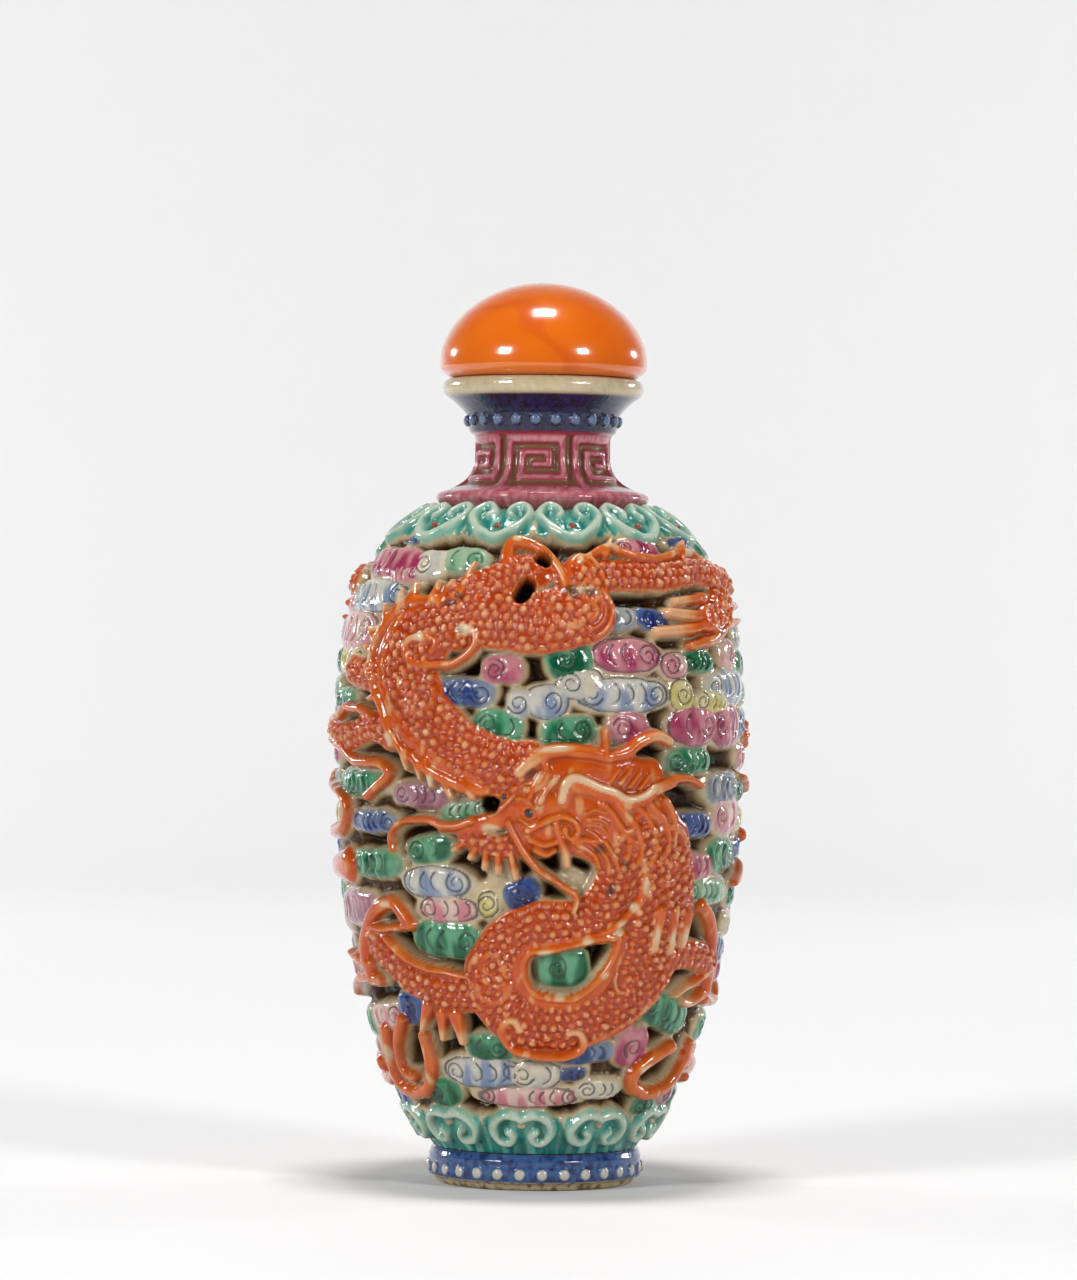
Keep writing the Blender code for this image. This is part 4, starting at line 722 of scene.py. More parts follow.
    def stroke(self, look, start_width, end_width, points, crown, seed):
        """A rounded band along a smooth curve, tapering from one half width to the other."""
        path = curve(points)
        middle = (path.min(axis=0) + path.max(axis=0)) / 2.0
        half = (path.max(axis=0) - path.min(axis=0)) / 2.0
        widest = max(start_width, end_width) + 1.2
        reach = (half[0] * self.scale.max() + widest, half[1] + widest)
        part, x, y, scale = self.near(*middle, *reach)
        best, along, share, side = nearest(x, y, (path - middle) * (scale, 1.0))
        width = start_width + (end_width - start_width) * share
        inside = width - best
        out = np.minimum(best / width, 1.0)
        top = crown - STROKE_ROUNDING.get(look, PLAIN_ROUNDING) * out ** 3
        flow, pale = self.wash[part], self.pale[part]
        if look == "scaled":
            top, colour = scaly(top, along, best * side, inside, flow, pale, seed)
        else:
            colour = glazed(look, share, out, flow, pale)
        self.add(part, inside, top, colour)

    def dot(self, turn, rise, radius, colour, height):
        """A small raised dot that sits on what it covers."""
        part, x, y, _ = self.near(turn, rise, radius + 0.5, radius + 0.5)
        far = np.hypot(x, y)
        dome = height * np.sqrt(np.clip(1.0 - (far / radius) ** 2, 0.0, 1.0))
        flat = mix(colour, colour, np.zeros_like(far))
        self.motifs.append((part, radius - far, dome, flat, NO_INK, True))

    def ruyi(self, outline, heads, dot_at, dot_colour):
        """A collar of heads: a pad, a pointed pale outline and two curls, on the side that up points to."""
        count, first, tip, up, size = heads
        pitch = 360.0 / count
        tall = max(away for _, away in outline)
        pad_width, pad_height = RUYI_PAD
        turns = [first + i * pitch for i in range(count // 2)]
        light, deep = PALETTE["turquoise"]
        for turn in turns:
            part, *_, inside, out = self.oval(turn, tip + 0.56 * tall * up, pitch * pad_width,
                                              pad_height * tall, 0, CLOUD_BEND)
            flow = self.wash[part]
            top = PAD_DEPTH - PAD_ROUNDING * out ** 3 + 0.05 * flow
            self.add(part, inside, top, mix(light, deep, smooth(0.6 + 0.5 * flow)))
        light, deep = PALETTE["mint"]
        for turn in turns:
            for side in (-1, 1):
                points = curve([(turn + side * pitch * a, tip + up * b) for a, b in outline])
                middle = points.mean(axis=0)
                part, x, y, scale = self.near(*middle, 6.0, 5.5)
                best, _, share, _ = nearest(x, y, (points - middle) * (scale, 1.0))
                width = (RUYI_LINE[0] + (RUYI_LINE[1] - RUYI_LINE[0]) * share) * size
                out = np.minimum(best / width, 1.0)
                colour = mix(light, deep, smooth(out * 1.5 - 0.4 + 0.3 * self.wash[part]))
                self.add(part, width - best, LINE_DEPTH - LINE_ROUNDING * out ** 2.5, colour)
            self.dot(turn, tip + dot_at * up, RUYI_DOT_RADIUS, dot_colour, RUYI_DOT_HEIGHT)

    def presence(self, ovals, soft, wider=1.0, taller=1.0):
        """Where a list of ovals lies, 0 to 1, with soft edges."""
        field = np.zeros_like(self.depth)
        for turn, rise, half_turn, half_rise, lean in ovals:
            part, *_, inside, _ = self.oval(turn, rise, half_turn * wider, half_rise * taller, lean)
            field[part] = np.maximum(field[part], smooth(inside / soft + 0.5))
        return field

    def lay_ground(self):
        """The wall round the motifs: cream at their feet, stained in the gaps, deepest and darkest in the
        openings, where the dark is partly stain and partly painted shade.
        """
        deep = self.presence(OPENINGS, 0.5, 1.15, 1.2)
        bare = self.presence(BARE, 0.6)
        low = smooth((APRON_LEVEL - self.rise) / 0.8)[:, None]
        away = smooth((self.gap + 0.05) / 0.30) * (1.0 - bare * (1.0 - deep)) * (1.0 - low)
        self.ground = GROUND + (RECESS - GROUND) * away + (OPENING - RECESS) * away * deep
        stain = smooth((self.gap - 0.04) / 0.42) * away * (0.85 + 0.15 * deep + 0.15 * self.wash)
        self.colour = mix(CREAM, STAIN_LIGHT, smooth(stain * 1.5))
        self.colour = mix(self.colour, STAIN_DARK, smooth((stain - 0.45) / 0.4))
        # Painted shade: the openings darken towards near black, over their stain
        self.colour = mix(self.colour, STAIN_AND_HOLE_SHADE, smooth((stain * deep - 0.6) / 0.4) * 0.75)
        apron = mix(*PALETTE["turquoise"], smooth(0.7 + 0.5 * self.wash))
        self.colour = mix(self.colour, apron, low * np.ones_like(deep))
        self.matt = 0.8 * stain
        self.ground = self.ground + GROUND_LUMP * self.lumps
        self.depth = self.ground.copy()

    def paint(self):
        """Lay the kept motifs one over another; a motif that sits is added to the surface under it."""
        for part, inside, top, colour, ink, sits in self.motifs:
            old = self.depth[part]
            if sits:
                surface = np.where(inside > 0.0, old + top, old)
                shown = smooth(inside / 0.12 + 0.5)
            else:
                fall = smooth(-inside / EDGE)
                surface = top * (1.0 - fall) + self.ground[part] * fall
                shown = smooth(inside / 0.16 + 0.5) * (surface > old - 0.03)
            share = np.clip(0.5 + 0.5 * (surface - old) / FILLET, 0.0, 1.0)
            blended = old * (1.0 - share) + surface * share + FILLET * share * (1.0 - share)
            raised = smooth((surface - self.ground[part]) / 0.3)
            self.depth[part] = np.maximum(old, surface) * (1.0 - raised) + blended * raised
            self.colour[part] = self.colour[part] * (1.0 - shown[..., None]) + colour * shown[..., None]
            self.matt[part] = self.matt[part] * (1.0 - shown)
            self.ink[part] = np.where(shown > 0.5, ink, self.ink[part])

    def pierce(self):
        """Holes cut through the dragon and painted near black as shade, and dabs of cream and dirt where its
        glaze is thin or fouled.
        """
        for dabs, colour, strength in ((CREAM_DABS, WHITE, 0.85), (DIRT_DABS, DIRT_AND_SHADE, 0.7)):
            for dab in dabs:
                part, *_, inside, _ = self.oval(*dab)
                shown = smooth(inside / 0.3 + 0.4) * smooth((self.depth[part] + 0.5) / 0.2) * strength
                self.colour[part] = mix(self.colour[part], colour, shown)
        for hole in HOLES:
            part, *_, inside, _ = self.oval(*hole)
            cut = smooth(inside / 0.35 + 0.5)
            self.depth[part] += (np.minimum(OPENING, self.depth[part]) - self.depth[part]) * cut
            # Painted shade: the hole is coloured near black, as if seen into the dark inside
            self.colour[part] = mix(self.colour[part], STAIN_AND_HOLE_SHADE, smooth(cut * 1.4))
            self.matt[part] = np.maximum(self.matt[part], 0.8 * cut)

    def weather(self):
        """Low ground smoothed; crests paler, partly thin glaze and partly painted highlight; hollows darker,
        partly pooled glaze and dirt and partly painted shade.
        """
        low = smooth((CLOUD_TOP - 0.2 - self.depth) / 0.3)
        self.depth = mix_numbers(self.depth, blur(self.depth, 3), low)
        fine = self.depth - blur(self.depth, 5)
        broad = self.depth - blur(self.depth, 50)
        hollow = np.clip(0.08 * smooth(-fine / 0.14) + 0.35 * smooth(-broad / 0.6), 0.0, 0.6)
        # Painted shade in hollows and recesses, mixed with pooled glaze and dirt
        self.colour = mix(self.colour, self.colour * 0.40 + np.array(DIRT_AND_SHADE) * 0.30, hollow)
        # Painted highlight on raised crests, together with the paler thin glaze there
        crest = smooth((fine - 0.015) / 0.10) * 0.34
        self.colour = mix(self.colour, self.colour * 0.5 + np.array(WHITE) * 0.5, crest)


def carve():
    """The whole relief of half a turn."""
    sheet = Sheet(SHEET_COLUMNS, SHEET_ROWS)
    for number, cloud in enumerate(CLOUDS):
        sheet.cloud(number, *cloud)
    sheet.ruyi(UPPER_OUTLINE, UPPER_HEADS, UPPER_DOT_AT, UPPER_DOT)
    sheet.ruyi(LOWER_OUTLINE, LOWER_HEADS, LOWER_DOT_AT, LOWER_DOT)
    strokes = [(stroke, crown) for strokes, crown in CROWNS for stroke in strokes]
    for seed, (stroke, crown) in enumerate(strokes, start=1):
        sheet.stroke(*stroke, crown, seed)
    sheet.lay_ground()
    sheet.paint()
    sheet.pierce()
    sheet.weather()
    for turn, rise, radius in EYES:
        sheet.motifs = []
        sheet.dot(turn, rise, radius + LID_WIDER, ORANGE_LIGHT, LID_HEIGHT)
        sheet.dot(turn, rise, radius, EYE, EYE_HEIGHT)
        sheet.paint()
    return sheet


def mesh_piece(name, points, faces, colour, ink=None, matt=None, normals=None):
    """A closed mesh with its enamel colour, ink and stain kept at each point; points are in millimetres."""
    mesh = bpy.data.meshes.new(name)
    mesh.from_pydata((points * MM).tolist(), [], faces)
    mesh.update()
    count = len(points)
    layer = mesh.color_attributes.new("enamel", "FLOAT_COLOR", "POINT")
    shade = linear(colour) * np.array(ENAMEL_SHARE)
    layer.data.foreach_set("color", np.concatenate([shade, np.ones((count, 1))], axis=1).ravel())
    for key, values, empty in (("ink", ink, NO_INK), ("matt", matt, 0.0)):
        attribute = mesh.attributes.new(key, "FLOAT", "POINT")
        attribute.data.foreach_set("value", np.full(count, empty) if values is None else values)
    mesh.shade_smooth()
    if normals is not None:
        mesh.normals_split_custom_set_from_vertices(normals.tolist())
    piece = bpy.data.objects.new(name, mesh)
    bpy.context.scene.collection.objects.link(piece)
    return piece


def grid_faces(index, flip=False):
    """Quads over a grid of point numbers."""
    a, b, c, d = index[:-1, :-1], index[:-1, 1:], index[1:, 1:], index[1:, :-1]
    quads = np.stack((a, d, c, b) if flip else (a, b, c, d), axis=-1).reshape(-1, 4)
    return quads.tolist()


def zip_faces(fine, coarse, flip):
    """Faces between a fine line of points and a coarse one beside it."""
    times = (len(fine) - 1) // (len(coarse) - 1)
    faces = []
    for i in range(len(coarse) - 1):
        run = fine[i * times:(i + 1) * times + 1]
        fan = [(coarse[i], run[k], run[k + 1]) for k in range(times)] + [(coarse[i], run[-1], coarse[i + 1])]
        faces += [tuple(int(v) for v in (face[::-1] if flip else face)) for face in fan]
    return faces


def around_axis(radius, turn, level):
    """Points at a radius, an angle in radians from the front, and a level."""
    level = np.broadcast_to(level, radius.shape)
    return np.stack((radius * np.sin(turn), -radius * np.cos(turn), level), axis=-1)


def outer_face(sheet, turn):
    """Points and normals of the relief, held in the solid's box, and the inner wall's radii and levels."""
    radius, level, out, up = wall(SHEET_ROWS)
    depth = np.tile(sheet.depth, 2)
    r = radius[:, None] + depth * out[:, None]
    z = level[:, None] + depth * up[:, None]
    _, high = cad_box
    limit = np.minimum((high.x / MM - BOX_MARGIN) / np.maximum(np.abs(np.sin(turn)), 1e-6),
                       (high.y / MM - BOX_MARGIN) / np.maximum(np.abs(np.cos(turn)), 1e-6))
    points = around_axis(np.minimum(r, limit[None, :]), turn, z)
    around = np.roll(points, -1, axis=1) - np.roll(points, 1, axis=1)
    normal = np.cross(around, np.gradient(points, axis=0))
    normal /= np.linalg.norm(normal, axis=-1, keepdims=True)
    inner_r = np.maximum(radius - WALL_DEPTH * out, BORE)[::INNER_ROW_STEP]
    inner_z = np.clip(level - WALL_DEPTH * up, FLOOR_LEVEL, None)[::INNER_ROW_STEP]
    return points, normal, inner_r, inner_z


def belly(sheet):
    """Four quarters of the belly, each closed by its share of the bottle's inside."""
    columns = 2 * SHEET_COLUMNS
    turn = np.radians(np.arange(columns) * 360.0 / columns)
    points, normal, inner_r, inner_z = outer_face(sheet, turn)
    ink, matt = np.tile(sheet.ink, 2), np.tile(sheet.matt, 2)
    colour = np.tile(sheet.colour, (1, 2, 1))
    quarter = columns // 4
    pieces = []
    for i, side in enumerate(("front", "right", "back", "left")):
        take = (np.arange(quarter + 1) - quarter // 2 + i * quarter) % columns
        outer = points[:, take].reshape(-1, 3)
        bend = turn[take][::INNER_COLUMN_STEP]
        inner = around_axis(np.repeat(inner_r[:, None], len(bend), axis=1), bend, inner_z[:, None])
        face = np.arange(len(outer)).reshape(SHEET_ROWS, quarter + 1)
        back = np.arange(inner.shape[0] * inner.shape[1]).reshape(inner.shape[:2]) + len(outer)
        inner = inner.reshape(-1, 3)
        faces = grid_faces(face) + grid_faces(back, flip=True)
        faces += zip_faces(face[0], back[0], True) + zip_faces(face[-1], back[-1], False)
        faces += zip_faces(face[:, 0], back[:, 0], False) + zip_faces(face[:, -1], back[:, -1], True)
        inward = -inner * (1.0, 1.0, 0.0)
        inward /= np.linalg.norm(inward, axis=-1, keepdims=True)
        cream = np.broadcast_to(np.array(CREAM, dtype=float), inner.shape)
        count = len(inner)
        pieces.append(mesh_piece(
            "belly_" + side, np.concatenate((outer, inner)), faces,
            np.concatenate((colour[:, take].reshape(-1, 3), cream)),
            np.concatenate((ink[:, take].ravel(), np.full(count, NO_INK))),
            np.concatenate((matt[:, take].ravel(), np.zeros(count))),
            np.concatenate((normal[:, take].reshape(-1, 3), inward))))
    return pieces


def turned(name, radius, level, colour, matt=None, poles=()):
    """A piece turned from rings; radius holds rings by points. It closes on itself or at poles."""
    rings, sides = radius.shape
    turn = np.radians(np.arange(sides) * 360.0 / sides)
    points = around_axis(radius, turn, level).reshape(-1, 3)
    index = np.arange(rings * sides).reshape(rings, sides)
    index = np.concatenate((index, index[:, :1]), axis=1)
    colours = np.broadcast_to(colour, (rings, sides, 3)).reshape(-1, 3)
    stain = np.zeros(rings * sides) if matt is None else matt.ravel()
    if not poles:
        return mesh_piece(name, points, grid_faces(np.concatenate((index, index[:1]))), colours, matt=stain)
    faces = grid_faces(index)
    count = len(points)
    for pole, row, flip in ((0, index[0], True), (1, index[-1], False)):
        ends = [(int(row[k]), int(row[k + 1]), count + pole) for k in range(sides)]
        faces += [end[::-1] for end in ends] if flip else ends
    points = np.concatenate((points, [(0.0, 0.0, poles[0]), (0.0, 0.0, poles[1])]))
    colours = np.concatenate((colours, colours[:1], colours[-1:]))
    stain = np.concatenate((stain, stain[:1], stain[-1:]))
    return mesh_piece(name, points, faces, colours, matt=stain)


def profile(step, corners):
    """Points along straight runs between corners of radius and height, no more than a step apart."""
    line = [corners[0]]
    for (r0, z0), (r1, z1) in zip(corners, corners[1:]):
        count = max(1, math.ceil(math.hypot(r1 - r0, z1 - z0) / step))
        line += [(r0 + (r1 - r0) * k / count, z0 + (z1 - z0) * k / count) for k in range(1, count + 1)]
    line = np.array(line)
    return line[:, 0], line[:, 1]


def joined(*runs):
    """Runs of radii and heights end to end, and the slice that each one takes."""
    ends = np.cumsum([len(r) for r, _ in runs])
    slices = [slice(end - len(r), end) for end, (r, _) in zip(ends, runs)]
    return np.concatenate([r for r, _ in runs]), np.concatenate([z for _, z in runs]), slices


def bead_field(turn, level, beads, first, at, size, radius):
    """Height and presence of a row of beads round a ring."""
    pitch = 360.0 / beads
    away = (turn - first + pitch / 2.0) % pitch - pitch / 2.0
    x = np.radians(away)[None, :] * radius
    far = np.hypot(x, level[:, None] - at) / size
    return size * np.sqrt(np.clip(1.0 - far ** 2, 0.0, 1.0)), smooth((1.05 - far) / 0.3)


def fret(turn, level):
    """Ridges of the fret, 0 to 1, over points round and levels up the neck."""
    high = np.array([[mark == "#" for mark in line] for line in FRET_CELLS[::-1]], dtype=float)
    across = ((turn - FRET_TURN) % (360.0 / FRET_PANELS)) * FRET_PANELS / 360.0 * high.shape[1]
    up = (level - FRET_LEVEL) / (NECK_WAIST_LEVEL - FRET_LEVEL) * high.shape[0]
    up = np.clip(up.astype(int), 0, high.shape[0] - 1)
    return high[np.ix_(up, across.astype(int))]


def noise_rows(seed, shape, times):
    """Even noise, softened, for patches of dirt."""
    field = blur(np.random.default_rng(seed).normal(size=shape), times)
    return field / field.std()


def neck():
    """Base rim, fret, beaded collar, lip, bore and the inside of the shoulder, as one closed ring."""
    level = np.linspace(NECK_BASE_LEVEL + 0.1, NECK_WAIST_LEVEL, FRET_RINGS)
    share = (NECK_WAIST_LEVEL - level) / (NECK_WAIST_LEVEL - NECK_BASE_LEVEL)
    flare = NECK_WAIST_RADIUS + (NECK_BASE_RADIUS - NECK_WAIST_RADIUS) * share ** NECK_FLARE
    runs = (profile(*run) for run in (COLLAR, LIP, MOUTH, NECK_INSIDE))
    r, z, (rim, fretted, collar, lip, _, _) = joined(profile(*NECK_RIM), (flare, level), *runs)
    turn = np.arange(TURNED_SIDES) * 360.0 / TURNED_SIDES
    shape = (len(r), TURNED_SIDES)
    ridges = blur(fret(turn, level), 4)
    dirt = noise_rows(NECK_DIRT, shape, 4)
    beads, on = bead_field(turn, z, *COLLAR_BEADS)
    radius = np.repeat(r[:, None], TURNED_SIDES, axis=1)
    radius[fretted] += (ridges - FRET_SINK) * FRET_HEIGHT
    radius[rim] += 0.02 * noise_rows(NECK_WAVER, (1, TURNED_SIDES), 60)
    radius[collar] += beads[collar] * COLLAR_BEAD_RISE
    colour = np.full(shape + (3,), CREAM, dtype=float)
    colour[rim] = mix(CRIMSON, ROSE_AND_RIDGE_HIGHLIGHT, smooth(0.5 + 0.12 * dirt[rim]))
    body = mix(FRET_RECESS, CRIMSON, smooth((ridges - 0.15) / 0.35))
    # Painted highlight: pale rose along the crests of the fret's ridges
    colour[fretted] = mix(body, ROSE_AND_RIDGE_HIGHLIGHT, smooth((ridges - 0.62) / 0.3) * smooth(0.7 + 0.2 * dirt[fretted]) * 0.8)
    every_side = np.ones(TURNED_SIDES)
    colour[collar] = mix(NAVY_DARK, NAVY, smooth(0.6 + 0.5 * dirt[collar]))
    above, below = (z[collar] - COLLAR_TOP) / COLLAR_FADE, (COLLAR_FOOT - z[collar]) / COLLAR_FADE
    colour[collar] = mix(colour[collar], CREAM, smooth(above)[:, None] * every_side)
    colour[collar] = mix(colour[collar], CRIMSON, smooth(below)[:, None] * every_side)
    colour[collar] = mix(colour[collar], NAVY_BEAD, on[collar] * smooth(beads[collar] / 0.35))
    colour[lip] = mix(LIP_LIGHT, LIP_DARK, smooth(0.16 + 0.05 * dirt[lip]))
    stain = np.zeros(shape)
    stain[fretted] = 0.5 * (1.0 - smooth((ridges - 0.2) / 0.4))
    return turned("neck", radius, z[:, None], colour, stain)


def foot():
    """The hollow underside, foot rim, beaded band and the bottle's floor, closed at both poles."""
    r, z, (_, rim, band, _) = joined(*(profile(*run) for run in (UNDERSIDE, FOOT_RIM, FOOT_BAND, FLOOR)))
    turn = np.arange(TURNED_SIDES) * 360.0 / TURNED_SIDES
    shape = (len(r), TURNED_SIDES)
    dirt = noise_rows(FOOT_DIRT, shape, 4)
    beads, on = bead_field(turn, z, *FOOT_BEADS)
    radius = np.repeat(r[:, None], TURNED_SIDES, axis=1)
    radius[band] += beads[band] * FOOT_BEAD_RISE
    colour = np.full(shape + (3,), CREAM, dtype=float)
    colour[rim] = mix(RIM_LIGHT, RIM_DARK, smooth(0.25 + 0.4 * dirt[rim]))
    colour[band] = mix(BAND_DARK, BAND_LIGHT, smooth(0.7 + 0.4 * dirt[band]))
    colour[band] = mix(colour[band], BAND_BEAD, on[band] * smooth(beads[band] / 0.3))
    stain = np.zeros(shape)
    stain[rim] = 0.5
    return turned("foot", radius, z[:, None], colour, stain, (UNDERSIDE_LEVEL, FLOOR_LEVEL))


def stopper():
    """The cabochon cap and its cork."""
    widest = CAP_FACE_LEVEL + CAP_BEVEL + CAP_BAND
    side = [(r, CAP_FACE_LEVEL + up) for r, up in CAP_SIDE] + [(CAP_RADIUS, widest)]
    share = np.sin(np.radians(np.linspace(2.0, 88.5, CAP_RINGS)))
    dome = (CAP_RADIUS * np.sqrt(1.0 - share ** CAP_BEND), widest + CAP_DOME * share)
    r, z, _ = joined(profile(STOPPER_STEP, side), dome)
    cap = turned("stopper_dome", np.repeat(r[:, None], CAP_SIDES, axis=1), z[:, None], STONE,
                 poles=(CAP_FACE_LEVEL, widest + CAP_DOME))
    r, z = profile(STOPPER_STEP, CORK_SIDE)
    radius = np.repeat(r[:, None], CORK_SIDES, axis=1)
    radius -= 0.06 * np.clip(noise_rows(CORK_PITS, radius.shape, 1), 0.0, 1.5)
    cork = turned("stopper_plug", radius, z[:, None], CORK_LIGHT, poles=(CORK_BOTTOM, CORK_TOP))
    return cap, cork


class Nodes:
    """Short hands for building a material's nodes."""

    def __init__(self, name):
        self.material = bpy.data.materials.new(name)
        self.material.use_nodes = True
        self.tree = self.material.node_tree
        self.shader = self.tree.nodes["Principled BSDF"]

    def add(self, kind, **settings):
        """A new node with its settings."""
        node = self.tree.nodes.new(kind)
        for key, value in settings.items():
            setattr(node, key, value)
        return node

    def link(self, source, target):
        """A link between two sockets."""
        self.tree.links.new(source, target)

    def set(self, **values):
        """Plain values on the shader's own sockets."""
        for key, value in values.items():
            self.shader.inputs[key.replace("_", " ")].default_value = value

    def place(self):
        """The place on the object, in metres."""
        return self.add("ShaderNodeTexCoord").outputs["Object"]

    def stored(self, name, output="Fac"):
        """A value kept at the mesh's points."""
        return self.add("ShaderNodeAttribute", attribute_name=name).outputs[output]

    def noise(self, scale, detail, vector):
        """Cloudy noise, 0 to 1."""
        node = self.add("ShaderNodeTexNoise")
        node.inputs["Scale"].default_value = scale
        node.inputs["Detail"].default_value = detail
        self.link(vector, node.inputs["Vector"])
        return node.outputs["Fac"]

    def span(self, value, low, high, to_low, to_high):
        """A value taken from one span to another."""
        node = self.add("ShaderNodeMapRange")
        for key, number in zip(("From Min", "From Max", "To Min", "To Max"), (low, high, to_low, to_high)):
            node.inputs[key].default_value = number
        self.link(value, node.inputs["Value"])
        return node.outputs["Result"]

    def blend(self, factor, first, second, kind="MIX"):
        """Two colours blended; each is a socket or a colour as the eye sees it."""
        node = self.add("ShaderNodeMix", data_type="RGBA", blend_type=kind)
        for key, value in (("Factor", factor), ("A", first), ("B", second)):
            socket = node.inputs[key]
            if isinstance(value, bpy.types.NodeSocket):
                self.link(value, socket)
            elif isinstance(value, tuple):
                socket.default_value = (*linear(value), 1.0)
            else:
                socket.default_value = value
        return node.outputs["Result"]

    def bump(self, strength, distance, height, *targets):
        """Fine unevenness, linked to the shader's sockets named last."""
        node = self.add("ShaderNodeBump")
        node.inputs["Strength"].default_value = strength
        node.inputs["Distance"].default_value = distance
        self.link(height, node.inputs["Height"])
        for target in targets:
            self.link(node.outputs["Normal"], self.shader.inputs[target])


def porcelain():
    """Glazed, enamelled porcelain: painted colour with ink lines, fine mottling, stain and a wet glaze."""
    n = Nodes("enamelled_porcelain")
    place = n.place()
    enamel, ink, matt = n.stored("enamel", "Color"), n.stored("ink"), n.stored("matt")
    mottle = n.span(n.noise(MOTTLE_SCALE, 6.0, place), 0.3, 0.7, 0.0, 1.0)
    colour = n.blend(0.16, enamel, n.blend(mottle, MOTTLE_DARK, MOTTLE_LIGHT), "MULTIPLY")
    specks = n.span(n.noise(SPECK_SCALE, 2.0, place), 0.67, 0.73, 0.0, 0.3)
    colour = n.blend(specks, colour, SPECK)
    painted = n.span(ink, -0.02, 0.06, 0.8, 0.0)
    n.link(n.blend(painted, colour, INK), n.shader.inputs["Base Color"])
    n.link(n.span(matt, 0.0, 1.0, 0.22, 0.62), n.shader.inputs["Roughness"])
    n.link(n.span(matt, 0.0, 1.0, 0.8, 0.08), n.shader.inputs["Coat Weight"])
    n.set(Coat_Roughness=0.05, IOR=1.5, Metallic=0.0, Specular_IOR_Level=0.1)
    n.bump(0.6, 0.00005, n.noise(GLAZE_SCALE, 3.0, place), "Normal", "Coat Normal")
    return n.material


def cabochon():
    """Polished, translucent orange stone with faint darker veins."""
    n = Nodes("orange_cabochon")
    place = n.place()
    cloudy = n.span(n.noise(CLOUDY_SCALE, 4.0, place), 0.35, 0.7, 0.0, 1.0)
    colour = n.blend(cloudy, STONE, STONE_LIGHT)
    veins = n.add("ShaderNodeTexWave", wave_type="BANDS", bands_direction="DIAGONAL")
    for key, value in (("Scale", VEIN_SCALE), ("Distortion", 9.0), ("Detail", 3.0), ("Detail Scale", 1.2)):
        veins.inputs[key].default_value = value
    n.link(place, veins.inputs["Vector"])
    vein = n.span(veins.outputs["Fac"], 0.93, 1.0, 0.0, 0.45)
    n.link(n.blend(vein, colour, STONE_VEIN), n.shader.inputs["Base Color"])
    n.set(Roughness=0.16, IOR=1.53, Coat_Weight=0.8, Coat_Roughness=0.03, Subsurface_Weight=0.35,
          Subsurface_Scale=0.004, Subsurface_Radius=(1.0, 0.45, 0.15))
    n.bump(0.12, 0.00003, n.noise(POLISH_SCALE, 2.0, place), "Coat Normal")
    return n.material


def corky():
    """Cork with dark pores."""
    n = Nodes("cork")
    place = n.place()
    tone = n.span(n.noise(CORK_SCALE, 5.0, place), 0.35, 0.65, 0.0, 1.0)
    colour = n.blend(tone, CORK_DARK, CORK_LIGHT)
    pores = n.span(n.noise(PORE_SCALE, 2.0, place), 0.6, 0.68, 0.0, 0.8)
    n.link(n.blend(pores, colour, CORK_PORE), n.shader.inputs["Base Color"])
    n.set(Roughness=0.85)
    n.bump(0.5, 0.0001, n.noise(PORE_SCALE, 4.0, place), "Normal")
    return n.material


def stage():
    """A pale floor that curves up into the backdrop."""
    corners = [(FLOOR_FRONT, 0.0), (FLOOR_BACK, 0.0)]
    for a in np.radians(np.arange(5, 95, 5)):
        corners.append((FLOOR_BACK + SWEEP_RADIUS * math.sin(a), SWEEP_RADIUS - SWEEP_RADIUS * math.cos(a)))
    corners.append((FLOOR_BACK + SWEEP_RADIUS, WALL_HEIGHT))
    mesh = bpy.data.meshes.new("backdrop")
    points = [(x, y, z) for y, z in corners for x in (-BACKDROP_HALF_WIDTH, BACKDROP_HALF_WIDTH)]
    mesh.from_pydata(points, [], [(2 * i, 2 * i + 1, 2 * i + 3, 2 * i + 2) for i in range(len(corners) - 1)])
    mesh.shade_smooth()
    sweep = bpy.data.objects.new("backdrop", mesh)
    bpy.context.scene.collection.objects.link(sweep)
    n = Nodes("backdrop")
    n.set(Base_Color=(*linear(BACKDROP), 1.0), Roughness=0.7, Specular_IOR_Level=0.2)
    mesh.materials.append(n.material)


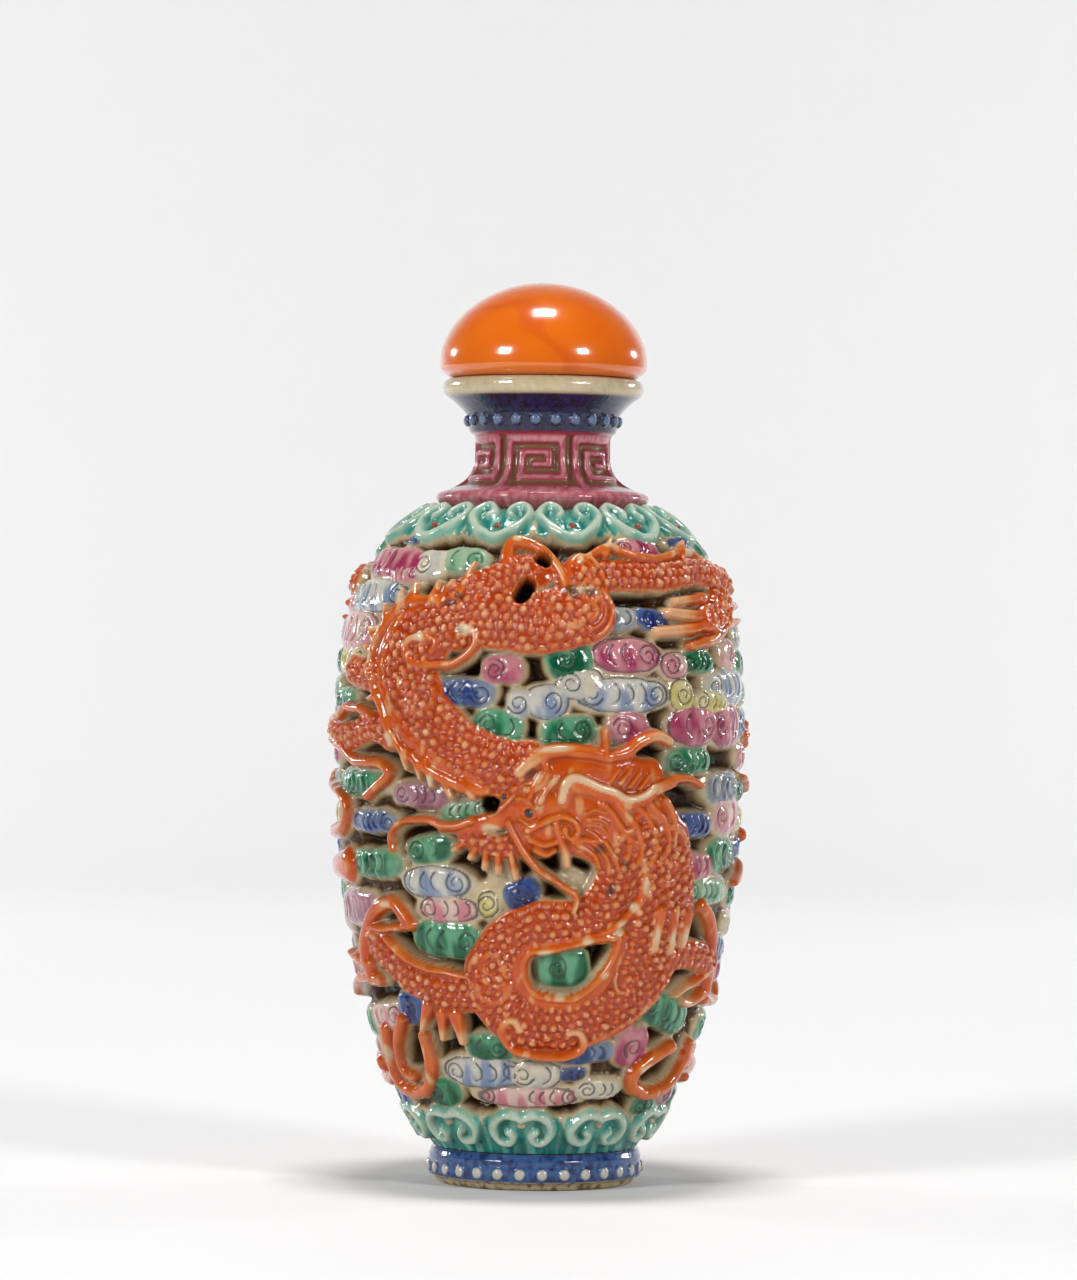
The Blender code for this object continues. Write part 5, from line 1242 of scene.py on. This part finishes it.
def light(name, place, aim, width, height, power):
    """A softbox that looks at a point."""
    lamp = bpy.data.lights.new(name, "AREA")
    lamp.shape = "RECTANGLE"
    lamp.size = width
    lamp.size_y = height
    lamp.energy = power
    box = bpy.data.objects.new(name, lamp)
    box.location = place
    box.rotation_euler = (place - aim).to_track_quat("Z", "Y").to_euler()
    bpy.context.scene.collection.objects.link(box)


def lights():
    """The lights round the bottle, and a pair that washes the backdrop."""
    for name, azimuth, elevation, distance, width, height, power in LIGHTS:
        a, e = math.radians(azimuth), math.radians(elevation)
        way = Vector((math.sin(a) * math.cos(e), -math.cos(a) * math.cos(e), math.sin(e)))
        light(name, LIGHTS_AIM + way * distance, LIGHTS_AIM, width, height, power)
    for name, side in (("wash_left", -1.0), ("wash_right", 1.0)):
        place, aim = (Vector((side * x, y, z)) for x, y, z in (WASH_PLACE, WASH_AIM))
        light(name, place, aim, WASH_SIZE, WASH_SIZE, WASH_POWER)


def camera():
    """A level camera at the photograph's distance, with its slight roll."""
    lens = bpy.data.cameras.new("camera")
    lens.sensor_fit = "AUTO"
    lens.sensor_width = SENSOR
    lens.lens = LENS
    lens.clip_start = NEAREST
    view = bpy.data.objects.new("camera", lens)
    view.location = CAMERA_PLACE
    view.rotation_euler = (Vector((0.0, 0.0, 1.0)).rotation_difference(Vector((0.0, -1.0, 0.0)))).to_euler()
    view.rotation_euler.rotate_axis("Z", math.radians(ROLL))
    bpy.context.scene.collection.objects.link(view)
    bpy.context.scene.camera = view


def world():
    """Even pale light from all round."""
    surroundings = bpy.data.worlds.new("studio")
    surroundings.use_nodes = True
    back = surroundings.node_tree.nodes["Background"]
    back.inputs["Color"].default_value = (*linear(SURROUNDINGS), 1.0)
    back.inputs["Strength"].default_value = SURROUNDINGS_STRENGTH
    bpy.context.scene.world = surroundings
    bpy.context.scene.view_settings.view_transform = "Standard"


glaze = porcelain()
for piece in belly(carve()) + [neck(), foot()]:
    piece.data.materials.append(glaze)
    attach(piece, "root")
    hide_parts("bottle")
for piece, material, node in zip(stopper(), (cabochon(), corky()), ("stopper_cap", "stopper_cork")):
    piece.data.materials.append(material)
    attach(piece, "root")
    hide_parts(node)
stage()
lights()
world()
camera()
